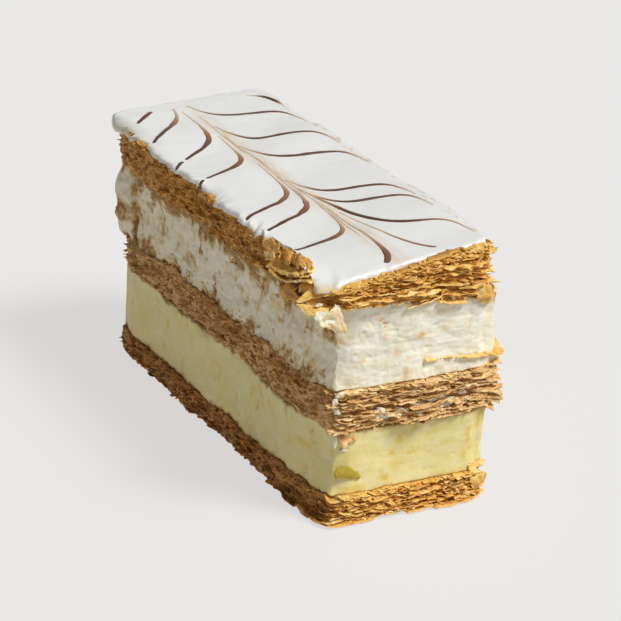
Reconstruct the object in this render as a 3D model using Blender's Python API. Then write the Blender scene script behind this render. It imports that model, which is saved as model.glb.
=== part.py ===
"""A mille feuille slice: three sheets of puff pastry with custard and whipped cream between them,
iced on top.

Every layer fills the room between two level surfaces, so neighbours follow each other's
unevenness with a hair of clearance between them. Frame: metres, +Z up, X across the slice, Y along
it from the cut front (-Y) to the back, origin at the middle of the underside.
"""

import math
from collections import namedtuple

import bmesh
import bpy
from mathutils import Vector

MM = 0.001

# Driving dimensions, in millimetres.
WIDTH = 44.0
LENGTH = 124.0
CLEARANCE = 0.3  # gap kept between two layers that touch
CORNER_ROUNDING = 1.6
COLUMNS = 10  # cells across a layer
ROWS = 26  # cells along a layer

# How far up each boundary between layers lies, at the four corners of the slice. crown lifts the
# middle of the length, ripple is the height of the waves in it and turn shifts them.
Level = namedtuple("Level", "front_left front_right back_left back_right crown ripple turn")
LEVELS = {
    "board": Level(0.0, 0.0, 0.0, 0.0, 0.0, 0.0, 0.0),
    "base_top": Level(7.4, 7.2, 6.8, 7.0, 0.0, 0.35, 0.4),
    "custard_top": Level(24.0, 24.2, 25.4, 25.6, 1.0, 0.5, 1.9),
    "middle_top": Level(35.0, 36.2, 34.6, 35.6, 0.4, 0.7, 3.1),
    "cream_top": Level(58.2, 54.4, 56.6, 57.0, -2.2, 0.5, 0.9),
    "pastry_top": Level(63.4, 67.4, 67.2, 68.6, -0.6, 0.3, 2.2),
    "icing_top": Level(65.6, 69.4, 69.4, 70.8, -0.6, 0.3, 2.2),
}

# A layer reaches past the nominal rectangle by its four overhangs. lean pushes the foot of its
# long sides out, waist draws its sides in at half height, wobble is how far its outline wanders
# and leaves is how deep the edges of its baked leaves stand in and out.
# droop and swell push it out at its front left and back left corners.
Layer = namedtuple(
    "Layer",
    "name floor roof left right front back lean waist wobble leaves droop swell rings turn",
)
LAYERS = (
    Layer("pastry_base", "board", "base_top",
          2.0, 0.0, 1.0, 0.6, 0.2, 0.0, 0.7, 0.45, 0.0, 0.0, 5, 0.3),
    Layer("custard", "base_top", "custard_top",
          1.2, 0.4, 0.0, -0.4, 0.4, 0.3, 0.5, 0.0, 0.0, 0.6, 4, 1.1),
    Layer("pastry_middle", "custard_top", "middle_top",
          0.9, 3.6, 0.9, 0.6, 0.3, 0.0, 0.8, 0.5, 0.0, 0.4, 5, 2.4),
    Layer("whipped_cream", "middle_top", "cream_top",
          0.4, 2.6, 0.0, 1.2, 0.4, 0.4, 0.6, 0.0, 0.0, 3.4, 4, 3.0),
    Layer("pastry_top", "cream_top", "pastry_top",
          2.8, 1.6, 1.2, 3.2, -0.6, 0.0, 0.8, 0.6, 4.0, 0.2, 5, 4.2),
    Layer("icing", "pastry_top", "icing_top",
          2.8, 1.0, -0.6, 4.2, 0.5, -0.2, 0.5, 0.0, 4.0, 0.8, 2, 5.0),
)

CORNER_REACH = 20.0  # how far from a corner its droop or swell starts
SAG = 1.2  # how far the drooping corner hangs down
SAGGING_LEVELS = ("pastry_top", "icing_top")

# Colour, roughness and metallic value of each layer's plain material.
FINISHES = {
    "pastry_base": ((0.56, 0.33, 0.13, 1.0), 0.75, 0.0),
    "custard": ((0.86, 0.80, 0.48, 1.0), 0.4, 0.0),
    "pastry_middle": ((0.54, 0.34, 0.18, 1.0), 0.75, 0.0),
    "whipped_cream": ((0.90, 0.88, 0.78, 1.0), 0.5, 0.0),
    "pastry_top": ((0.66, 0.40, 0.14, 1.0), 0.7, 0.0),
    "icing": ((0.90, 0.90, 0.90, 1.0), 0.2, 0.0),
}


def near_left_corner(x, y, end):
    """1 at the left corner of the front (end -1) or the back (end 1), fading to 0 away from it."""
    away = math.hypot(x + WIDTH / 2, y - end * LENGTH / 2) / CORNER_REACH
    if away >= 1:
        return 0.0
    return (1 - away * away) ** 2


def height(level, x, y):
    """How high the named boundary lies over a point of the board."""
    corners = LEVELS[level]
    across = x / WIDTH + 0.5
    along = y / LENGTH + 0.5
    front = corners.front_left + (corners.front_right - corners.front_left) * across
    back = corners.back_left + (corners.back_right - corners.back_left) * across
    crown = corners.crown * (1 - (2 * along - 1) ** 2)
    waves = math.sin(y / 9.0 + corners.turn) * math.cos(x / 13.0 + corners.turn)
    waves += 0.5 * math.sin(y / 4.7 - x / 11.0 + 2 * corners.turn)
    z = front + (back - front) * along + crown + corners.ripple * waves
    if level in SAGGING_LEVELS:
        z -= SAG * near_left_corner(x, y, -1)
    return z


def wander(turn, travel):
    """A wave of about 1 high that never quite repeats along travel."""
    return 0.6 * math.sin(travel / 7.3 + turn) + 0.4 * math.sin(travel / 3.9 + 2.3 * turn)


def stand_out(layer, side, travel, rise):
    """How far the rim of a layer stands out of its plain outline, at a place along one side."""
    leaf = -1 if round(rise * layer.rings) % 2 else 1
    unevenness = layer.wobble * wander(layer.turn + side, travel)
    unevenness += layer.leaves * leaf * wander(leaf, 2 * travel)
    return unevenness - layer.waist * math.sin(math.pi * rise)


def outline_point(layer, u, v, rise):
    """Where a point of a layer is. u and v run from -1 to 1 across and along it, rise from 0 to 1."""
    lean = layer.lean * (0.5 - rise)
    overhang_x = layer.right + lean if u > 0 else layer.left + lean
    overhang_y = layer.back if v > 0 else layer.front
    x = u * (WIDTH / 2 + overhang_x - CORNER_ROUNDING * abs(v) ** 16)
    y = v * (LENGTH / 2 + overhang_y - CORNER_ROUNDING * abs(u) ** 16)
    if abs(u) == 1:
        x += u * stand_out(layer, u, y, rise)
    if abs(v) == 1:
        y += v * stand_out(layer, 2 * v, x, rise)
    swell = layer.swell * near_left_corner(x, y, 1) * math.sin(math.pi * (0.15 + 0.7 * rise))
    x -= layer.droop * near_left_corner(x, y, -1) + swell
    return x, y + 0.5 * swell


def cut_box(columns, rows, rings):
    """A cube from -1 to 1 whose faces are cut into columns, rows and rings."""
    bm = bmesh.new()
    bmesh.ops.create_cube(bm, size=2.0)
    for normal, cells in (((1, 0, 0), columns), ((0, 1, 0), rows), ((0, 0, 1), rings)):
        axis = Vector(normal)
        for cut in range(1, cells):
            everything = bm.verts[:] + bm.edges[:] + bm.faces[:]
            place = axis * (2 * cut / cells - 1)
            bmesh.ops.bisect_plane(bm, geom=everything, plane_co=place, plane_no=axis)
    return bm


def make_material(name):
    colour, roughness, metallic = FINISHES[name]
    material = bpy.data.materials.new(name)
    material.use_nodes = True
    shader = material.node_tree.nodes["Principled BSDF"]
    shader.inputs["Base Color"].default_value = colour
    shader.inputs["Roughness"].default_value = roughness
    shader.inputs["Metallic"].default_value = metallic
    material.diffuse_color = colour
    return material


def make_layer(layer, collection):
    """One layer: a cut box whose points move to the layer's outline and between its two levels."""
    bm = cut_box(COLUMNS, ROWS, layer.rings)
    for vert in bm.verts:
        u, v, w = vert.co
        rise = (w + 1) / 2
        x, y = outline_point(layer, u, v, rise)
        low = height(layer.floor, x, y)
        if layer.floor != "board":
            low += CLEARANCE / 2
        high = height(layer.roof, x, y) - CLEARANCE / 2
        vert.co = Vector((x, y, low + (high - low) * rise)) * MM
    bmesh.ops.triangulate(bm, faces=bm.faces[:])
    mesh = bpy.data.meshes.new(layer.name)
    bm.to_mesh(mesh)
    bm.free()
    mesh.shade_smooth()
    mesh.set_sharp_from_angle(angle=math.radians(40))
    mesh.materials.append(make_material(layer.name))
    piece = bpy.data.objects.new(layer.name, mesh)
    collection.objects.link(piece)
    return piece


def centre_on_origin(pieces):
    """Moves all the pieces together, so that the middle of their common box is over the origin."""
    points = [vert.co for piece in pieces for vert in piece.data.vertices]
    middle = Vector((0, 0, 0))
    for axis in range(2):
        places = [point[axis] for point in points]
        middle[axis] = (min(places) + max(places)) / 2
    for point in points:
        point -= middle


def main():
    for old in list(bpy.data.objects):
        bpy.data.objects.remove(old)
    collection = bpy.data.collections.new("mille_feuille_slice")
    bpy.context.scene.collection.children.link(collection)
    centre_on_origin([make_layer(layer, collection) for layer in LAYERS])


main()
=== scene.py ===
# %% [markdown]
# # A mille feuille slice
#
# Three sheets of puff pastry hold a layer of custard and a layer of whipped cream, and white icing
# with feathered brown lines covers the top. Each layer was cut by a knife, so what gives the slice
# away as real is its edges: thin baked leaves that part and break, cream that tears, custard that
# stays smooth. The frame below gives the place and size of every layer, and each cell gives one of
# them its surface.

# %% Load the frame
import math
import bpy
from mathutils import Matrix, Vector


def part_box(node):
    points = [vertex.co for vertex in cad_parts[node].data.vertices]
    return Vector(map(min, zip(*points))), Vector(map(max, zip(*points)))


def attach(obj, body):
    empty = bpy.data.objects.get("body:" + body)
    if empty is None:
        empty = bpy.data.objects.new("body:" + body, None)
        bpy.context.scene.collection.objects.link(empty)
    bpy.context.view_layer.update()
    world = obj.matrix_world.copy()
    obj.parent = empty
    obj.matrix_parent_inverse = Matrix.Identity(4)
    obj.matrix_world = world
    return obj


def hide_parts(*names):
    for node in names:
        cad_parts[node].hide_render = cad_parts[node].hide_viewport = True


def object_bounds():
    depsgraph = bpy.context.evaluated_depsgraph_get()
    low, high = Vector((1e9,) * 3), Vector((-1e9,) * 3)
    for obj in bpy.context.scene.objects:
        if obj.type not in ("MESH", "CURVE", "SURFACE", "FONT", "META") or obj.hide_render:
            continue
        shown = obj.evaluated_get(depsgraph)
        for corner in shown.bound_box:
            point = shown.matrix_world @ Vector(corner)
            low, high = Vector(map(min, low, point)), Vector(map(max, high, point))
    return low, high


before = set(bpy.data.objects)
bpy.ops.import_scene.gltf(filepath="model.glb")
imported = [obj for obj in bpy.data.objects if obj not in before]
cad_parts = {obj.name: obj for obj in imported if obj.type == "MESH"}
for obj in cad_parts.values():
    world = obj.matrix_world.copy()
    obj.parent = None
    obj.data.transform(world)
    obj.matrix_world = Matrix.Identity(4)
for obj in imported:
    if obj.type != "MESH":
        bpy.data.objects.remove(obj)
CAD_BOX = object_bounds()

from types import SimpleNamespace

import bpy
import numpy as np
from mathutils import Quaternion, Vector
from mathutils.bvhtree import BVHTree

MM = 0.001  # the script works in millimetres, and a mesh takes metres
print("layers:", ", ".join(sorted(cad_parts)))
print("box in mm:", [[round(c / MM, 1) for c in corner] for corner in CAD_BOX])

# %% [markdown]
# ## The camera
#
# The slice is seen from its front left corner, a little from above, through a long lens, which
# keeps its edges nearly parallel. The camera comes first, so that everything after it can be judged
# through it. It is held at a small tilt and a given distance, and its target is worked out from the box.

# %% Camera
VIEW_AZIMUTH = math.radians(-28.98)
VIEW_ELEVATION = math.radians(22.54)
VIEW_ROLL = math.radians(2.0)
VIEW_DISTANCE = 687.6  # mm
FOCAL_LENGTH = 150.7
NEAREST = 0.01  # metres from the camera, where the view starts
TARGET_SHIFT = (2.6, -6.1, -3.6)  # mm from the middle of the box to what the camera looks at


def in_mm(corners):
    return [np.array(corner) / MM for corner in corners]


box_low, box_high = in_mm(CAD_BOX)
box_middle = (box_low + box_high) / 2
view_target = Vector(box_middle + TARGET_SHIFT) * MM


def add_camera():
    back = Vector((
        math.sin(VIEW_AZIMUTH) * math.cos(VIEW_ELEVATION),
        -math.cos(VIEW_AZIMUTH) * math.cos(VIEW_ELEVATION),
        math.sin(VIEW_ELEVATION),
    ))
    bpy.ops.object.camera_add(location=view_target + back * VIEW_DISTANCE * MM)
    camera = bpy.context.object
    camera.name = "camera"
    camera.data.lens = FOCAL_LENGTH
    camera.data.clip_start = NEAREST
    level = (-back).to_track_quat("-Z", "Y")
    camera.rotation_euler = (level @ Quaternion((0, 0, 1), VIEW_ROLL)).to_euler()
    bpy.context.scene.camera = camera
    return camera


camera = add_camera()
print("camera at", [round(c / MM) for c in camera.location], "mm")

# %% [markdown]
# ## Light and floor
#
# One broad sun stands high at the front right, so the cut front and the top are bright and the long
# left side is in open shade. The sky fills that shade. The floor is a light table: it glows a
# little, so the shadow on it stays faint. A camera ray that misses the floor sees the same pale
# grey, so no horizon shows.

# %% Light and floor
SUN_DIRECTION = Vector((0.36, -0.47, 0.81))
SUN_STRENGTH = 2.95
SUN_WIDTH = math.radians(22)
SKY_COLOUR = (1.0, 0.975, 0.90, 1.0)
SKY_STRENGTH = 0.205
BACKDROP = (0.80, 0.785, 0.775, 1.0)
FLOOR_SIZE = 6.0  # metres
FLOOR_DROP = 0.0002  # metres under the slice, so that their faces don't lie in one plane
FLOOR_COLOUR = np.array((0.86, 0.845, 0.835))
FLOOR_GLOW = 0.80  # the share of the floor's brightness that is its own
FLOOR_FILL = 0.58  # the lower glow that lights the food

scene = bpy.context.scene
scene.view_settings.view_transform = "Standard"


def add_sun():
    bpy.ops.object.light_add(type="SUN")
    sun = bpy.context.object
    sun.name = "sun"
    sun.data.energy = SUN_STRENGTH
    sun.data.angle = SUN_WIDTH
    sun.rotation_euler = SUN_DIRECTION.to_track_quat("Z", "Y").to_euler()


def add_sky():
    world = bpy.data.worlds.new("studio")
    scene.world = world
    world.use_nodes = True
    tree = world.node_tree
    backdrop = tree.nodes["Background"]
    backdrop.inputs["Color"].default_value = BACKDROP
    fill = tree.nodes.new("ShaderNodeBackground")
    fill.inputs["Color"].default_value = SKY_COLOUR
    fill.inputs["Strength"].default_value = SKY_STRENGTH
    seen = tree.nodes.new("ShaderNodeLightPath")
    mix = tree.nodes.new("ShaderNodeMixShader")
    tree.links.new(seen.outputs["Is Camera Ray"], mix.inputs["Fac"])
    tree.links.new(fill.outputs["Background"], mix.inputs[1])
    tree.links.new(backdrop.outputs["Background"], mix.inputs[2])
    tree.links.new(mix.outputs["Shader"], tree.nodes["World Output"].inputs["Surface"])


def add_floor():
    bpy.ops.mesh.primitive_plane_add(size=FLOOR_SIZE, location=(0, 0, -FLOOR_DROP))
    floor = bpy.context.object
    floor.name = "floor"
    material = bpy.data.materials.new("floor")
    material.use_nodes = True
    shader = material.node_tree.nodes["Principled BSDF"]
    shader.inputs["Base Color"].default_value = (*(FLOOR_COLOUR * (1 - FLOOR_GLOW)), 1.0)
    shader.inputs["Emission Color"].default_value = BACKDROP
    tree = material.node_tree
    seen = tree.nodes.new("ShaderNodeLightPath")
    glow = tree.nodes.new("ShaderNodeMapRange")
    glow.inputs["To Min"].default_value = FLOOR_FILL
    glow.inputs["To Max"].default_value = FLOOR_GLOW
    tree.links.new(seen.outputs["Is Camera Ray"], glow.inputs["Value"])
    tree.links.new(glow.outputs["Result"], shader.inputs["Emission Strength"])
    shader.inputs["Roughness"].default_value = 0.9
    floor.data.materials.append(material)


bpy.ops.object.select_all(action="DESELECT")
add_sun()
add_sky()
add_floor()

# %% [markdown]
# ## Noise
#
# Nothing here is random from one run to the next. This noise gives each corner of a grid a fixed
# number and blends between the corners, so the same place always gets the same bump. Layers of it
# at finer and finer scales make torn cream and broken pastry.

# %% Noise helpers
def lattice(i, j, k, seed):
    """A fixed number from 0 to 1 for each corner of a grid."""
    h = (i * 374761393 + j * 668265263 + k * 1440662683 + seed * 1274126177) & 0xFFFFFFFF
    h = ((h ^ (h >> 13)) * 1103515245) & 0xFFFFFFFF
    h = ((h ^ (h >> 15)) * 668265263) & 0xFFFFFFFF
    return (h ^ (h >> 16)) / 0xFFFFFFFF


def noise(x, y, z, seed=0):
    """Smooth noise from -1 to 1 with bumps about 1 wide."""
    places = np.broadcast_arrays(np.asarray(x, float), np.asarray(y, float), np.asarray(z, float))
    cells = [np.floor(p).astype(np.int64) for p in places]
    parts = [p - c for p, c in zip(places, cells)]
    parts = [p * p * p * (p * (p * 6 - 15) + 10) for p in parts]
    total = 0
    for corner in range(8):
        steps = (corner & 1, corner >> 1 & 1, corner >> 2 & 1)
        weight = 1
        for part, step in zip(parts, steps):
            weight = weight * (part if step else 1 - part)
        total = total + weight * lattice(*(c + s for c, s in zip(cells, steps)), seed)
    return total * 2 - 1


def layered(x, y, z, seed=0, octaves=3):
    """Noise with finer and fainter copies of itself on top."""
    total, strength, scale = 0, 1.0, 1.0
    for octave in range(octaves):
        total = total + strength * noise(x * scale, y * scale, z * scale, seed + 17 * octave)
        strength *= 0.5
        scale *= 2.03
    return total / 1.75


def smoothstep(low, high, value):
    share = np.clip((value - low) / (high - low), 0, 1)
    return share * share * (3 - 2 * share)


# %% [markdown]
# ## Reading the frame
#
# Each layer's CAD solid says where its top and underside lie and how far its sides reach. A ray
# cast down, up or inwards at the solid finds them. The answers are kept in small tables, and every
# surface made later reads its place from those.

# %% Outline round the slice
custard_low, custard_high = in_mm(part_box("custard"))
OUTLINE_IN = 1.0  # mm that the outline lies inside the custard's box
CORNER = 2.4  # radius of the outline's corners
SHARE_STEPS = 3300  # how finely the outline is searched for the nearest place
outline_middle = ((custard_low + custard_high) / 2)[:2]
outline_half = ((custard_high - custard_low) / 2)[:2] - OUTLINE_IN


def rounded_rectangle():
    """Points, outward normals and distance travelled, from the middle of the right side and back."""
    points, normals = [(outline_half[0], 0.0)], [(1.0, 0.0)]
    for quarter, (side, end) in enumerate(((1, 1), (-1, 1), (-1, -1), (1, -1))):
        for turn in np.linspace(quarter, quarter + 1, 9) * math.pi / 2:
            normal = np.array((math.cos(turn), math.sin(turn)))
            points.append((outline_half - CORNER) * (side, end) + CORNER * normal)
            normals.append(normal)
    points.append(points[0])
    normals.append(normals[0])
    points, normals = np.array(points) + outline_middle, np.array(normals)
    steps = np.linalg.norm(np.diff(points, axis=0), axis=1)
    return points, normals, np.concatenate(([0], np.cumsum(steps)))


outline_points, outline_normals, outline_travel = rounded_rectangle()
PERIMETER = float(outline_travel[-1])
print("the outline is", round(PERIMETER), "mm long")


def along_path(places, known, path):
    """The points of a path at places between the known ones."""
    return np.column_stack([np.interp(places, known, column) for column in path.T])


def outline(share):
    """Points and outward normals at shares from 0 to 1 of the way round."""
    travel = np.mod(share, 1.0) * PERIMETER
    points, normals = (along_path(travel, outline_travel, path) for path in (outline_points, outline_normals))
    return points, normals / np.linalg.norm(normals, axis=-1, keepdims=True)


def share_near(x, y):
    """The share of the outline that is nearest a place."""
    shares = np.arange(SHARE_STEPS) / SHARE_STEPS
    points = outline(shares)[0]
    return float(shares[np.argmin(np.hypot(points[:, 0] - x, points[:, 1] - y))])


# %% Levels and reach of each layer
TABLE_STEP = 1.0  # mm between the places where a layer's height is read
ABOVE, BELOW = 200, -50  # mm: the heights where rays at a layer start
BESIDE = 20  # mm outside the outline, where rays at its sides start
INSET = 2.6  # mm inside the outline, where a ray from above still meets the top and not a side
REACH_SHARES = np.arange(480) / 480
REACH_RISES = np.array([0.12, 0.3, 0.5, 0.7, 0.88])


def ray_target(mesh, points):
    """A mesh made ready for rays, with its points in millimetres."""
    return BVHTree.FromPolygons(points, [tuple(face.vertices) for face in mesh.polygons])


def fill_gaps(table):
    """Gives every empty place the value of its nearest neighbours, row by row."""
    for _ in range(max(table.shape)):
        empty = np.isnan(table)
        if not empty.any():
            break
        for axis in (0, 1):
            for step in (1, -1):
                near = np.roll(table, step, axis)
                edge = [slice(None), slice(None)]
                edge[axis] = 0 if step == 1 else -1
                near[tuple(edge)] = np.nan
                table = np.where(np.isnan(table), near, table)
    return table


def between(table, i, j):
    """The values of a table at places between its entries. After its last row comes its first."""
    a = np.floor(i).astype(int) % len(table)
    b = np.minimum(j.astype(int), table.shape[1] - 2)
    c = (a + 1) % len(table)
    s, t = i - np.floor(i), j - b
    near = table[a, b] * (1 - t) + table[a, b + 1] * t
    far = table[c, b] * (1 - t) + table[c, b + 1] * t
    return near * (1 - s) + far * s


class Layer:
    """Where one CAD solid's top, underside and sides are."""

    def __init__(self, node):
        self.node = node
        low, high = in_mm(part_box(node))
        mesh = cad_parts[node].data
        solid = ray_target(mesh, [vertex.co / MM for vertex in mesh.vertices])
        self.xs, self.ys = (np.arange(low[axis], high[axis] + TABLE_STEP, TABLE_STEP) for axis in (0, 1))
        self.tops = self.read_level(solid, ABOVE, -1)
        self.bottoms = self.read_level(solid, BELOW, 1)
        self.reach = self.read_reach(solid)

    def read_level(self, solid, start, way):
        table = np.full((len(self.xs), len(self.ys)), np.nan)
        for i, x in enumerate(self.xs):
            for j, y in enumerate(self.ys):
                hit = solid.ray_cast(Vector((x, y, start)), Vector((0, 0, way)))[0]
                if hit is not None:
                    table[i, j] = hit.z
        return fill_gaps(table)

    def read_reach(self, solid):
        """How far the sides stand out of the outline, at each share round it and each rise."""
        points, normals = outline(REACH_SHARES)
        bottom, top = self.level(self.bottoms, *points.T), self.level(self.tops, *points.T)
        table = np.full((len(REACH_SHARES), len(REACH_RISES)), np.nan)
        for j, rise in enumerate(REACH_RISES):
            for i, (point, normal) in enumerate(zip(points, normals)):
                start = Vector((*(point + BESIDE * normal), bottom[i] + (top[i] - bottom[i]) * rise))
                hit = solid.ray_cast(start, Vector((*-normal, 0)))[0]
                if hit is not None:
                    table[i, j] = BESIDE - (hit - start).length
        return fill_gaps(table)

    def level(self, table, x, y):
        """A height from a table. Past the outline it stays what it is a little way inside."""
        x, y = (np.clip(np.asarray(c), m - h + INSET, m + h - INSET)
                for c, m, h in zip((x, y), outline_middle, outline_half))
        return between(table, (x - self.xs[0]) / TABLE_STEP, (y - self.ys[0]) / TABLE_STEP)

    def top(self, x, y):
        return self.level(self.tops, x, y)

    def bottom(self, x, y):
        return self.level(self.bottoms, x, y)

    def stands_out(self, share, rise):
        """The reach at any share and rise, blended from the table."""
        return between(self.reach, np.mod(share, 1.0) * len(REACH_SHARES),
                       np.interp(rise, REACH_RISES, np.arange(len(REACH_RISES))))


layers = {node: Layer(node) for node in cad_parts}
ICING_THINNED = 0.8  # mm: the icing is made thinner than its solid, and the pastry follows
layers["pastry_top"].tops += ICING_THINNED


def hold_back(node, side, low_y, high_y, most):
    """Keeps one side of a layer within a few mm, where loose flakes stand for the rest of it."""
    points, normals = outline(REACH_SHARES)
    held = (normals[:, 0] * side > 0.3) & (points[:, 1] > low_y) & (points[:, 1] < high_y)
    layers[node].reach[held] = np.minimum(layers[node].reach[held], most)


hold_back("pastry_top", -1, -64, -31, 1.0)
hold_back("pastry_top", 1, -64, -50, -0.6)
hold_back("pastry_top", 1, -50, 70, 0.2)
for node, layer in layers.items():
    print(f"{node}: reaches {layer.reach.min():.1f} to {layer.reach.max():.1f} mm past the outline")

# %% Seams between the layers
ORDER = ("pastry_base", "custard", "pastry_middle", "whipped_cream", "pastry_top", "icing")
RIM_RISE = 0.9  # mm that the top sheet's broken rim comes up round the icing, on the front's right half


def seam(node, above, share):
    """How far the boundary under a layer, or above it, wanders up or down. Neighbours share it."""
    points, normals = outline(share)
    x, y = points.T
    index = ORDER.index(node) + above
    if index in (0, len(ORDER)):
        return np.zeros(len(x))
    rough = 0.35 + 0.65 * np.clip(-normals[:, 0], 0, 1) ** 2
    wander = 0.8 * noise(x / 5, y / 5, index * 3.3, 81) + 0.5 * noise(x / 1.8, y / 1.8, index * 3.3, 82)
    rim = RIM_RISE * np.clip(-normals[:, 1], 0, 1) * smoothstep(-5, 1, x)
    return rough * wander + (rim if index == 5 else 0)


def edges(node, share):
    """The heights of a layer's lower and upper boundary round the slice."""
    layer = layers[node]
    points = outline(share)[0]
    low = layer.bottom(*points.T) + seam(node, 0, share)
    return low, layer.top(*points.T) + seam(node, 1, share)


# %% [markdown]
# ## Rolling a grid round the slice
#
# Every layer shows mostly as a band round the slice. A flat grid is the plainest start: its long
# side is rolled round the slice, its short side runs up the wall or round a leaf's edge, and the
# seams where it meets itself are merged. The grid's own coordinates say where each vertex belongs,
# so all of them move in one step.

# %% Mesh helpers
def select_only(*pieces):
    """Selects these pieces and makes the first of them active."""
    bpy.ops.object.select_all(action="DESELECT")
    for piece in pieces:
        piece.select_set(True)
    if pieces:
        bpy.context.view_layer.objects.active = pieces[0]


def read_points(mesh):
    points = np.empty(len(mesh.vertices) * 3)
    mesh.vertices.foreach_get("co", points)
    return points.reshape(-1, 3)


def write_points(mesh, points):
    mesh.vertices.foreach_set("co", (np.asarray(points) * MM).ravel())
    mesh.update()


def paint(mesh, name, values):
    """Keeps one number for each vertex, which a material can read."""
    layer = mesh.attributes.new(name, "FLOAT", "POINT")
    layer.data.foreach_set("value", np.broadcast_to(values, len(mesh.vertices)).astype(np.float32))


def flat_grid(name, columns, rows):
    """A grid with columns by rows cells, and where each vertex is on it from 0 to 1 both ways."""
    select_only()
    bpy.ops.mesh.primitive_grid_add(x_subdivisions=columns, y_subdivisions=rows, size=2)
    grid = bpy.context.object
    grid.name = grid.data.name = name
    start = read_points(grid.data)
    return grid, np.round((start[:, 0] + 1) / 2, 7), np.round((start[:, 1] + 1) / 2, 7)


def merge_seams(piece, distance=1e-7):
    select_only(piece)
    bpy.ops.object.mode_set(mode="EDIT")
    bpy.ops.mesh.select_all(action="SELECT")
    bpy.ops.mesh.remove_doubles(threshold=distance)
    bpy.ops.object.mode_set(mode="OBJECT")


def join(pieces, name):
    select_only(*pieces)
    if len(pieces) > 1:
        bpy.ops.object.join()
    joined = bpy.context.object
    joined.name = joined.data.name = name
    return joined


def thicken(piece, thickness):
    """Gives the active sheet a thickness in metres, half of it to each side."""
    solidify = piece.modifiers.new("thickness", "SOLIDIFY")
    solidify.thickness = thickness
    solidify.offset = 0.0
    bpy.ops.object.modifier_apply(modifier="thickness")


def facing(normals):
    """How much each place looks to the front, left, right and back."""
    x, y = normals.T
    front, left, right, back = (np.clip(amount, 0, 1) ** 2 for amount in (-y, -x, x, y))
    return SimpleNamespace(front=front, left=left, right=right, back=back)


def front_left(side):
    """1 at the front left corner, where the icing sags, and 0 away from it."""
    return np.minimum(1, 6 * side.left * side.front)


def dome(value, middle, width):
    """A soft bump of 1 at the middle, which is nearly gone at twice its width."""
    return np.exp(-((value - middle) / width) ** 2)


# %% A closed body with a long side wall
def wrapped_body(name, node, columns, rows, relief, edge=0.8, cap=0.10, overlap=0.0):
    """A closed body on a layer. relief(place) gives how far the wall stands out of the CAD side.

    cap is the share of the rows that close it above, and as many below. overlap, in mm, is how far
    the wall runs on over the layers above and below.
    """
    body, share, climb = flat_grid(name, columns, rows)
    rise = np.clip((climb - cap) / (1 - 2 * cap), 0, 1)
    inwards = np.clip(np.maximum(cap - climb, climb - 1 + cap) / cap, 0, 1)
    layer = layers[node]
    points, normals = outline(share)
    low, high = edges(node, share)
    low, high = low - overlap, high + overlap
    height = low + (high - low) * rise
    place = SimpleNamespace(x=points[:, 0], y=points[:, 1], z=height, rise=rise, share=share, low=low,
                            high=high, **vars(facing(normals)))
    out = relief(place)
    near_end = np.clip(1 - np.minimum(height - low, high - height) / edge, 0, 1)
    rounding = edge * (1 - np.sqrt(1 - near_end ** 2)) * 0.7
    wall = layer.stands_out(share, rise) + out - rounding
    moved = points + normals * wall[:, None]
    moved = outline_middle + (moved - outline_middle) * (1 - inwards ** 1.5)[:, None]
    level = np.where(climb > 0.5, layer.top(*moved.T), layer.bottom(*moved.T))
    write_points(body.data, np.column_stack([moved, np.where(inwards > 0, level, height)]))
    paint(body.data, "relief", out)
    bpy.ops.object.shade_smooth()
    print(f"{name}: {len(body.data.polygons)} faces, relief {out.min():.2f} to {out.max():.2f} mm")
    return body, place


# %% [markdown]
# ## Whipped cream
#
# The knife tears whipped cream: the front is pulled into short level ridges with small pits, and
# the long side is wiped into upright streaks, with crumbs and brown smears dragged down from the
# pastry above. The relief is layered noise, stretched level on one side and upright on the other.

# %% Whipped cream
def ridged(value):
    """Turns smooth noise into sharp crests."""
    return 1 - 2 * np.abs(value)


def fillet(at, node, up, down):
    """Brings a filling's wall out to meet the sheets above and below it, over some mm."""
    share, index = at.share, ORDER.index(node)
    own = layers[node].stands_out(share, at.rise)
    over = layers[ORDER[index + 1]].stands_out(share, np.full_like(share, REACH_RISES[0])) - own
    under = layers[ORDER[index - 1]].stands_out(share, np.full_like(share, REACH_RISES[-1])) - own
    over = (over - 0.4) * np.exp((at.z - at.high) / up)
    return over + (under + 0.1) * np.exp((at.low - at.z) / down)


def cream_relief(at):
    x, y, z = at.x, at.y, at.z
    level = at.front + at.back
    upright = at.left + at.right
    froth = at.front * np.exp(-((x + 11) / 7) ** 2 - ((z - 52) / 3.5) ** 2)  # where it is rough
    swell = (0.8 - 0.45 * at.front) * noise(x / 9, y / 9, z / 7, 3)
    swell += 0.35 * noise(x / 3.5, y / 3.5, z / 3, 4)
    torn = 0.24 * layered(x / 4.0, y / 4.0, z / 1.8, 5) + 0.07 * ridged(noise(x / 2.6, y / 2.6, z / 0.8, 9))
    lean = y + (0.15 + 0.3 * smoothstep(20, -30, y)) * z
    wiped = 0.3 * layered(x / 2, lean / 2.4, z / 6, 11) + 0.16 * ridged(noise(x, lean / 1.2, z / 3.5, 15))
    wiped += 0.25 * layered(x / 1.7, y / 1.7, z / 1.7, 16)
    crevice = -1.6 * dome(y, 50.5, 1.0) * smoothstep(30, 38, z) * at.left
    bulge = (1.1 + 1.8 * dome(z, 41, 5)) * dome(y, 63, 8) * at.left + 0.9 * at.right
    fluff = (0.10 + 0.22 * froth) * layered(x / 0.9, y / 0.9, z / 0.9, 23)
    pits = smoothstep(0.4, 0.9, noise(x / 2.0, y / 2.0, z / 1.4, 31))
    meeting = (0.25 + 0.75 * at.left) * fillet(at, "whipped_cream", 2.4, 1.5)
    relief = swell + level * torn + upright * (wiped + crevice) + bulge + fluff
    return relief - (0.3 + 0.5 * froth) * pits + meeting


cream, at = wrapped_body("whipped_cream_cut", "whipped_cream", 1080, 84, cream_relief, edge=0.5,
                         overlap=0.35)

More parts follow.
